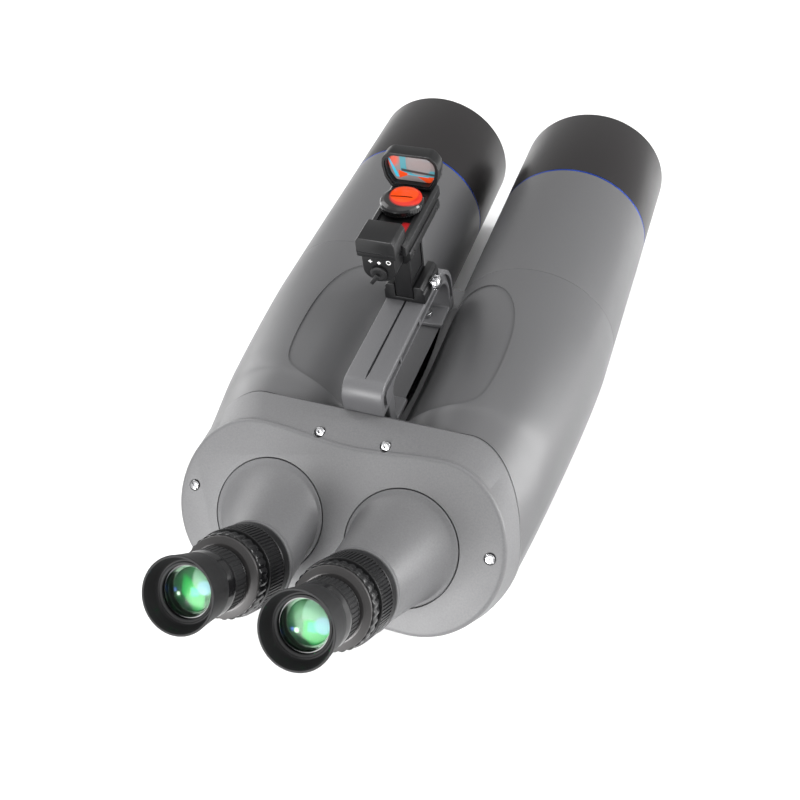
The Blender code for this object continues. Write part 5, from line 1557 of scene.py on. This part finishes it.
def make_mark(name, x, z, shape):
    """A thin painted mark on the rear face of the switch boss."""
    here = Matrix.Translation((x, SIGHT_REAR + 0.002, z)) @ Matrix.Rotation(math.pi / 2, 4, "X")
    if shape == "ring":
        mark = turned(name, [(0.0011, 0.0), (0.0016, 0.0), (0.0016, 0.0001), (0.0011, 0.0001)], here, 48)
    elif shape == "square":
        mark = plate(name, [(0.0013, 0), (0, 0.0013), (-0.0013, 0), (0, -0.0013)], 0.0, 0.0001, here, 0)
    else:
        arm, width = 0.0014, 0.00028
        mark = plate(name, [(arm, width), (width, width), (width, arm), (-width, arm), (-width, width),
                            (-arm, width),
                            (-arm, -width), (-width, -width), (-width, -arm), (width, -arm), (width, -width),
                            (arm, -width)], 0.0, 0.0001, here, 0)
    finish(mark, "chassis", "black_metal", WHITE_MARK)


make_selector()
make_mark("mark_cross", -0.0052, TRAY_LOW - 0.0004, "cross")
make_mark("mark_square", 0.0006, TRAY_LOW - 0.0008, "square")
make_mark("mark_ring", 0.0072, TRAY_LOW + 0.0004, "ring")

# %% [markdown]
# ## Brightness knob, elevation screw and a painted glow on the deck
# The battery cap is also the brightness knob. It has a coin slot and a milled rim, and on its polished top a
# painted reflection shows the orange of the coated window above it. A brass screw behind it trims the aim,
# and a soft red glow is painted on a small block in the deck. Both glow a little by themselves.

# %% Knob and deck
# Colours of the painted reflections and the painted glow on the sight.
ORANGE = (0.55, 0.045, 0.003)
RED = (0.42, 0.018, 0.008)
NEAR_BLACK = (0.008, 0.007, 0.007)


def make_knob():
    low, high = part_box("brightness_knob")
    centre = Vector(((low[0] + high[0]) / 2, (low[1] + high[1]) / 2, TRAY_HIGH))
    radius = (high[0] - low[0]) / 2
    top = high[2] - TRAY_HIGH
    outline = [(0, top), (radius * 0.45, top - 0.0002), (radius * 0.78, top - 0.0006, 0.002),
               (radius * 0.94, top - 0.0018, 0.0006), (radius, top - 0.0030, 0.0004),
               (radius, 0.0012, 0.0003),
               (radius * 0.95, 0.0003), (0.003, 0.0003), (0.003, -0.0027), (0, -0.0027)]
    knob = turned("knob_cap", outline, None, 96, closed=False)
    cut_ribs(knob, 96, 0.0010, top - 0.0031, radius * 0.97, 0.0001, 0.0003)
    slot = plate("slot", [(-0.0078, 0.0), (-0.0066, -0.0005), (0.0066, -0.0005), (0.0078, 0.0),
                          (0.0066, 0.0005),
                          (-0.0066, 0.0005)], top - 0.0010, top + 0.01,
                          Matrix.Rotation(math.radians(6), 4, "Z"), 0)
    carve(knob, slot)
    clean(knob)
    place(knob, Matrix.Translation(centre))
    # Painted reflection of the orange window: red and orange discs on the knob top that glow a little.
    painted_reflection = reflection_material(
        "painted reflection on knob top", [
            ("disc", RED, 1.0, dict(Centre=(0.0030, 0.0022, top), Radius=0.0112, Softness=0.0016)),
            ("disc", ORANGE, 1.0, dict(Centre=(0.0010, 0.0034, top), Radius=0.0092, Softness=0.0012)),
        ], NEAR_BLACK, centre, roughness=0.3, emission=0.3, coat=0.3)
    finish(knob, "brightness_knob", "black_plastic", BLACK_GLOSS, "brightness_knob", smooth=32)
    knob.data.materials.append(painted_reflection)
    top_z = centre.z + top - 0.0016
    inner = radius * 0.90
    for face in knob.data.polygons:
        middle = face.center
        if middle.z > top_z and math.hypot(middle.x - centre.x,
                                           middle.y - centre.y) < inner and face.normal.z > 0.6:
            face.material_index = 1


def make_elevation_screw():
    low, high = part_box("elevation_screw")
    frame_here = Matrix.Translation(((low[0] + high[0]) / 2, (low[1] + high[1]) / 2, TRAY_HIGH))
    screw = turned("trim_screw", [(0, 0.0020), (0.0016, 0.0025, 0.0003), (0.0024, 0.0021, 0.0003),
                                  (0.0024, 0.0003),
                                  (0.0011, 0.0003), (0.0011, -0.0036), (0, -0.0036)], None, 40, closed=False)
    carve(screw, block("drive", (-0.0004, -0.004, 0.0014), (0.0004, 0.004, 0.01), 0))
    clean(screw)
    place(screw, frame_here)
    finish(screw, "elevation_screw", "brass", BRASS, "elevation_screw")


def make_painted_deck_glow():
    # A soft red glow painted on a small block in the deck, which gives off a little light of its own.
    lamp = block("deck_painted_glow", (0.0060, -0.0400, TRAY_HIGH - 0.0016), (0.0112, -0.0290, TRAY_HIGH - 0.0006),
                 0.0003)
    centre = (0.0090, -0.0345, TRAY_HIGH)
    red = reflection_material("painted red glow", [
        ("disc", (0.28, 0.006, 0.008), 1.0, dict(Centre=(0, 0, 0), Radius=0.0050, Softness=0.002)),
    ], (0.04, 0.002, 0.003), centre, roughness=0.4, emission=0.15)
    finish(lamp, "chassis", "black_metal", red)


make_knob()
make_elevation_screw()
make_painted_deck_glow()

# %% [markdown]
# ## Sight hood and window
# The hood is a thin frame with a flat top and bowed sides. Its window has a coating that mirrors red light
# back to the eye and lets teal pass, so the glass shows warm patches on one side and teal on the other.
# These, with the sky, grey, dark and orange patches, are painted reflections on the glass's own tint, and
# they glow a little.

# %% Hood
def hood_shape(low, high, inset):
    half, flat = 0.020 - inset, 0.014 - inset * 0.6
    top, bottom = high - inset, low + inset
    bow = low + (high - low) * 0.62
    right = [(half * 0.72, bottom, 0.003), (half * 0.93, bottom + (bow - bottom) * 0.45, 0.008),
             (half, bow, 0.008),
             (half * 0.95, bow + (top - bow) * 0.55, 0.008), (flat, top, 0.0050)]
    return rounded(right + [(-x, z, r) for x, z, r in reversed(right)], steps=6)


def make_hood():
    low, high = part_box("sight_hood")
    depth_low, depth_high = -high[1], -low[1]
    hood = plate("window_hood", hood_shape(low[2], high[2], 0.0), depth_low, depth_high, across(0),
                 edge=0.0005)
    opening = plate("opening", hood_shape(low[2], high[2], 0.0028), depth_low - 0.01, depth_high + 0.01,
                    across(0), 0)
    carve(hood, opening)
    recess = plate("recess", hood_shape(low[2], high[2], 0.0019), depth_high - 0.0012, depth_high + 0.01,
                   across(0), 0)
    carve(hood, recess)
    clean(hood)
    finish(hood, "chassis", "black_metal", SIGHT_METAL, "sight_hood", smooth=40)
    glass_low, glass_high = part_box("sight_lens")
    window = plate("coated_window", hood_shape(low[2], high[2], 0.0030), -glass_high[1], -glass_low[1],
                   across(0), 0.0002)
    mm = 0.001
    origin = (0.0, glass_low[1], (low[2] + high[2]) / 2)

    def flat(corners):
        sides = []
        for i, (x, z) in enumerate(corners):
            next_x, next_z = corners[(i + 1) % len(corners)]
            normal = Vector((-(next_z - z), 0, next_x - x)).normalized()
            sides.append((tuple(normal), (normal.x * x + normal.z * z) * mm))
        return sides

    # Painted reflections on the window: a warm disc, teal, sky and grey patches, a dark band and orange
    # patches.
    teal, grey, sky = (0.02, 0.22, 0.27), (0.20, 0.18, 0.18), (0.02, 0.35, 0.50)
    layers = [
        ("disc", (0.50, 0.07, 0.04), 0.9, dict(Centre=(-16 * mm, 0, 6 * mm), Radius=6.5 * mm,
                                               Softness=3 * mm)),
        ("patch", teal, 0.75, flat([(-8.5, 14), (-4.2, 14), (-4.2, -4), (-8.5, -4)])),
        ("patch", teal, 0.7, flat([(-6, -2.0), (16, -0.5), (16, -6), (-6, -5)])),
        ("disc", sky, 0.9, dict(Centre=(9.5 * mm, 0, 10.5 * mm), Radius=4.6 * mm, Softness=2 * mm)),
        ("disc", grey, 0.95, dict(Centre=(4.5 * mm, 0, 3.0 * mm), Radius=8.6 * mm, Softness=1.2 * mm)),
        ("patch", (0.03, 0.022, 0.022), 0.9, flat([(-8, -1.2), (16, -3.0), (16, -4.6), (-8, -3.2)])),
        ("patch", ORANGE, 0.95, flat([(-10, -2.6), (-2, -5.2), (-10, -9)])),
        ("patch", ORANGE, 0.95, flat([(3, -6.2), (16, -5.4), (16, -12), (12, -12)])),
        ("patch", sky, 0.8, flat([(-4, -4.9), (11, -5.7), (11, -6.2), (-4, -5.6)])),
        ("patch", sky, 0.9, flat([(-17, 6), (-15.6, 6), (-9.6, -8), (-12, -8)])),
    ]
    tint_and_reflections = reflection_material("coating tint and painted reflections", layers, (0.17, 0.15, 0.15), origin, roughness=0.15,
                                  emission=0.25)
    finish(window, "chassis", "glass", tint_and_reflections, "sight_lens")


make_hood()

# %% [markdown]
# ## Inner pieces
# The prisms and their retainers sit inside the closed body. They keep the plain shapes of the frame and get
# the finishes they would have: clear glass for the prisms and flat black for the metal that holds them.

# %% Finishes of the inner pieces
def paint_inner(node_name, material):
    plain = bpy.data.objects[node_name]
    for slot in plain.material_slots:
        slot.material = material
    print(node_name, "inner finish", material.name)


for name in SIDES:
    paint_inner(f"{name}_rhomboid_prism", PRISM_GLASS)
    paint_inner(f"{name}_erecting_prism", PRISM_GLASS)
    paint_inner(f"{name}_turret_retainer", BLACK_SATIN)
paint_inner("foot_screw_rear", STEEL)
paint_inner("foot_screw_front", STEEL)
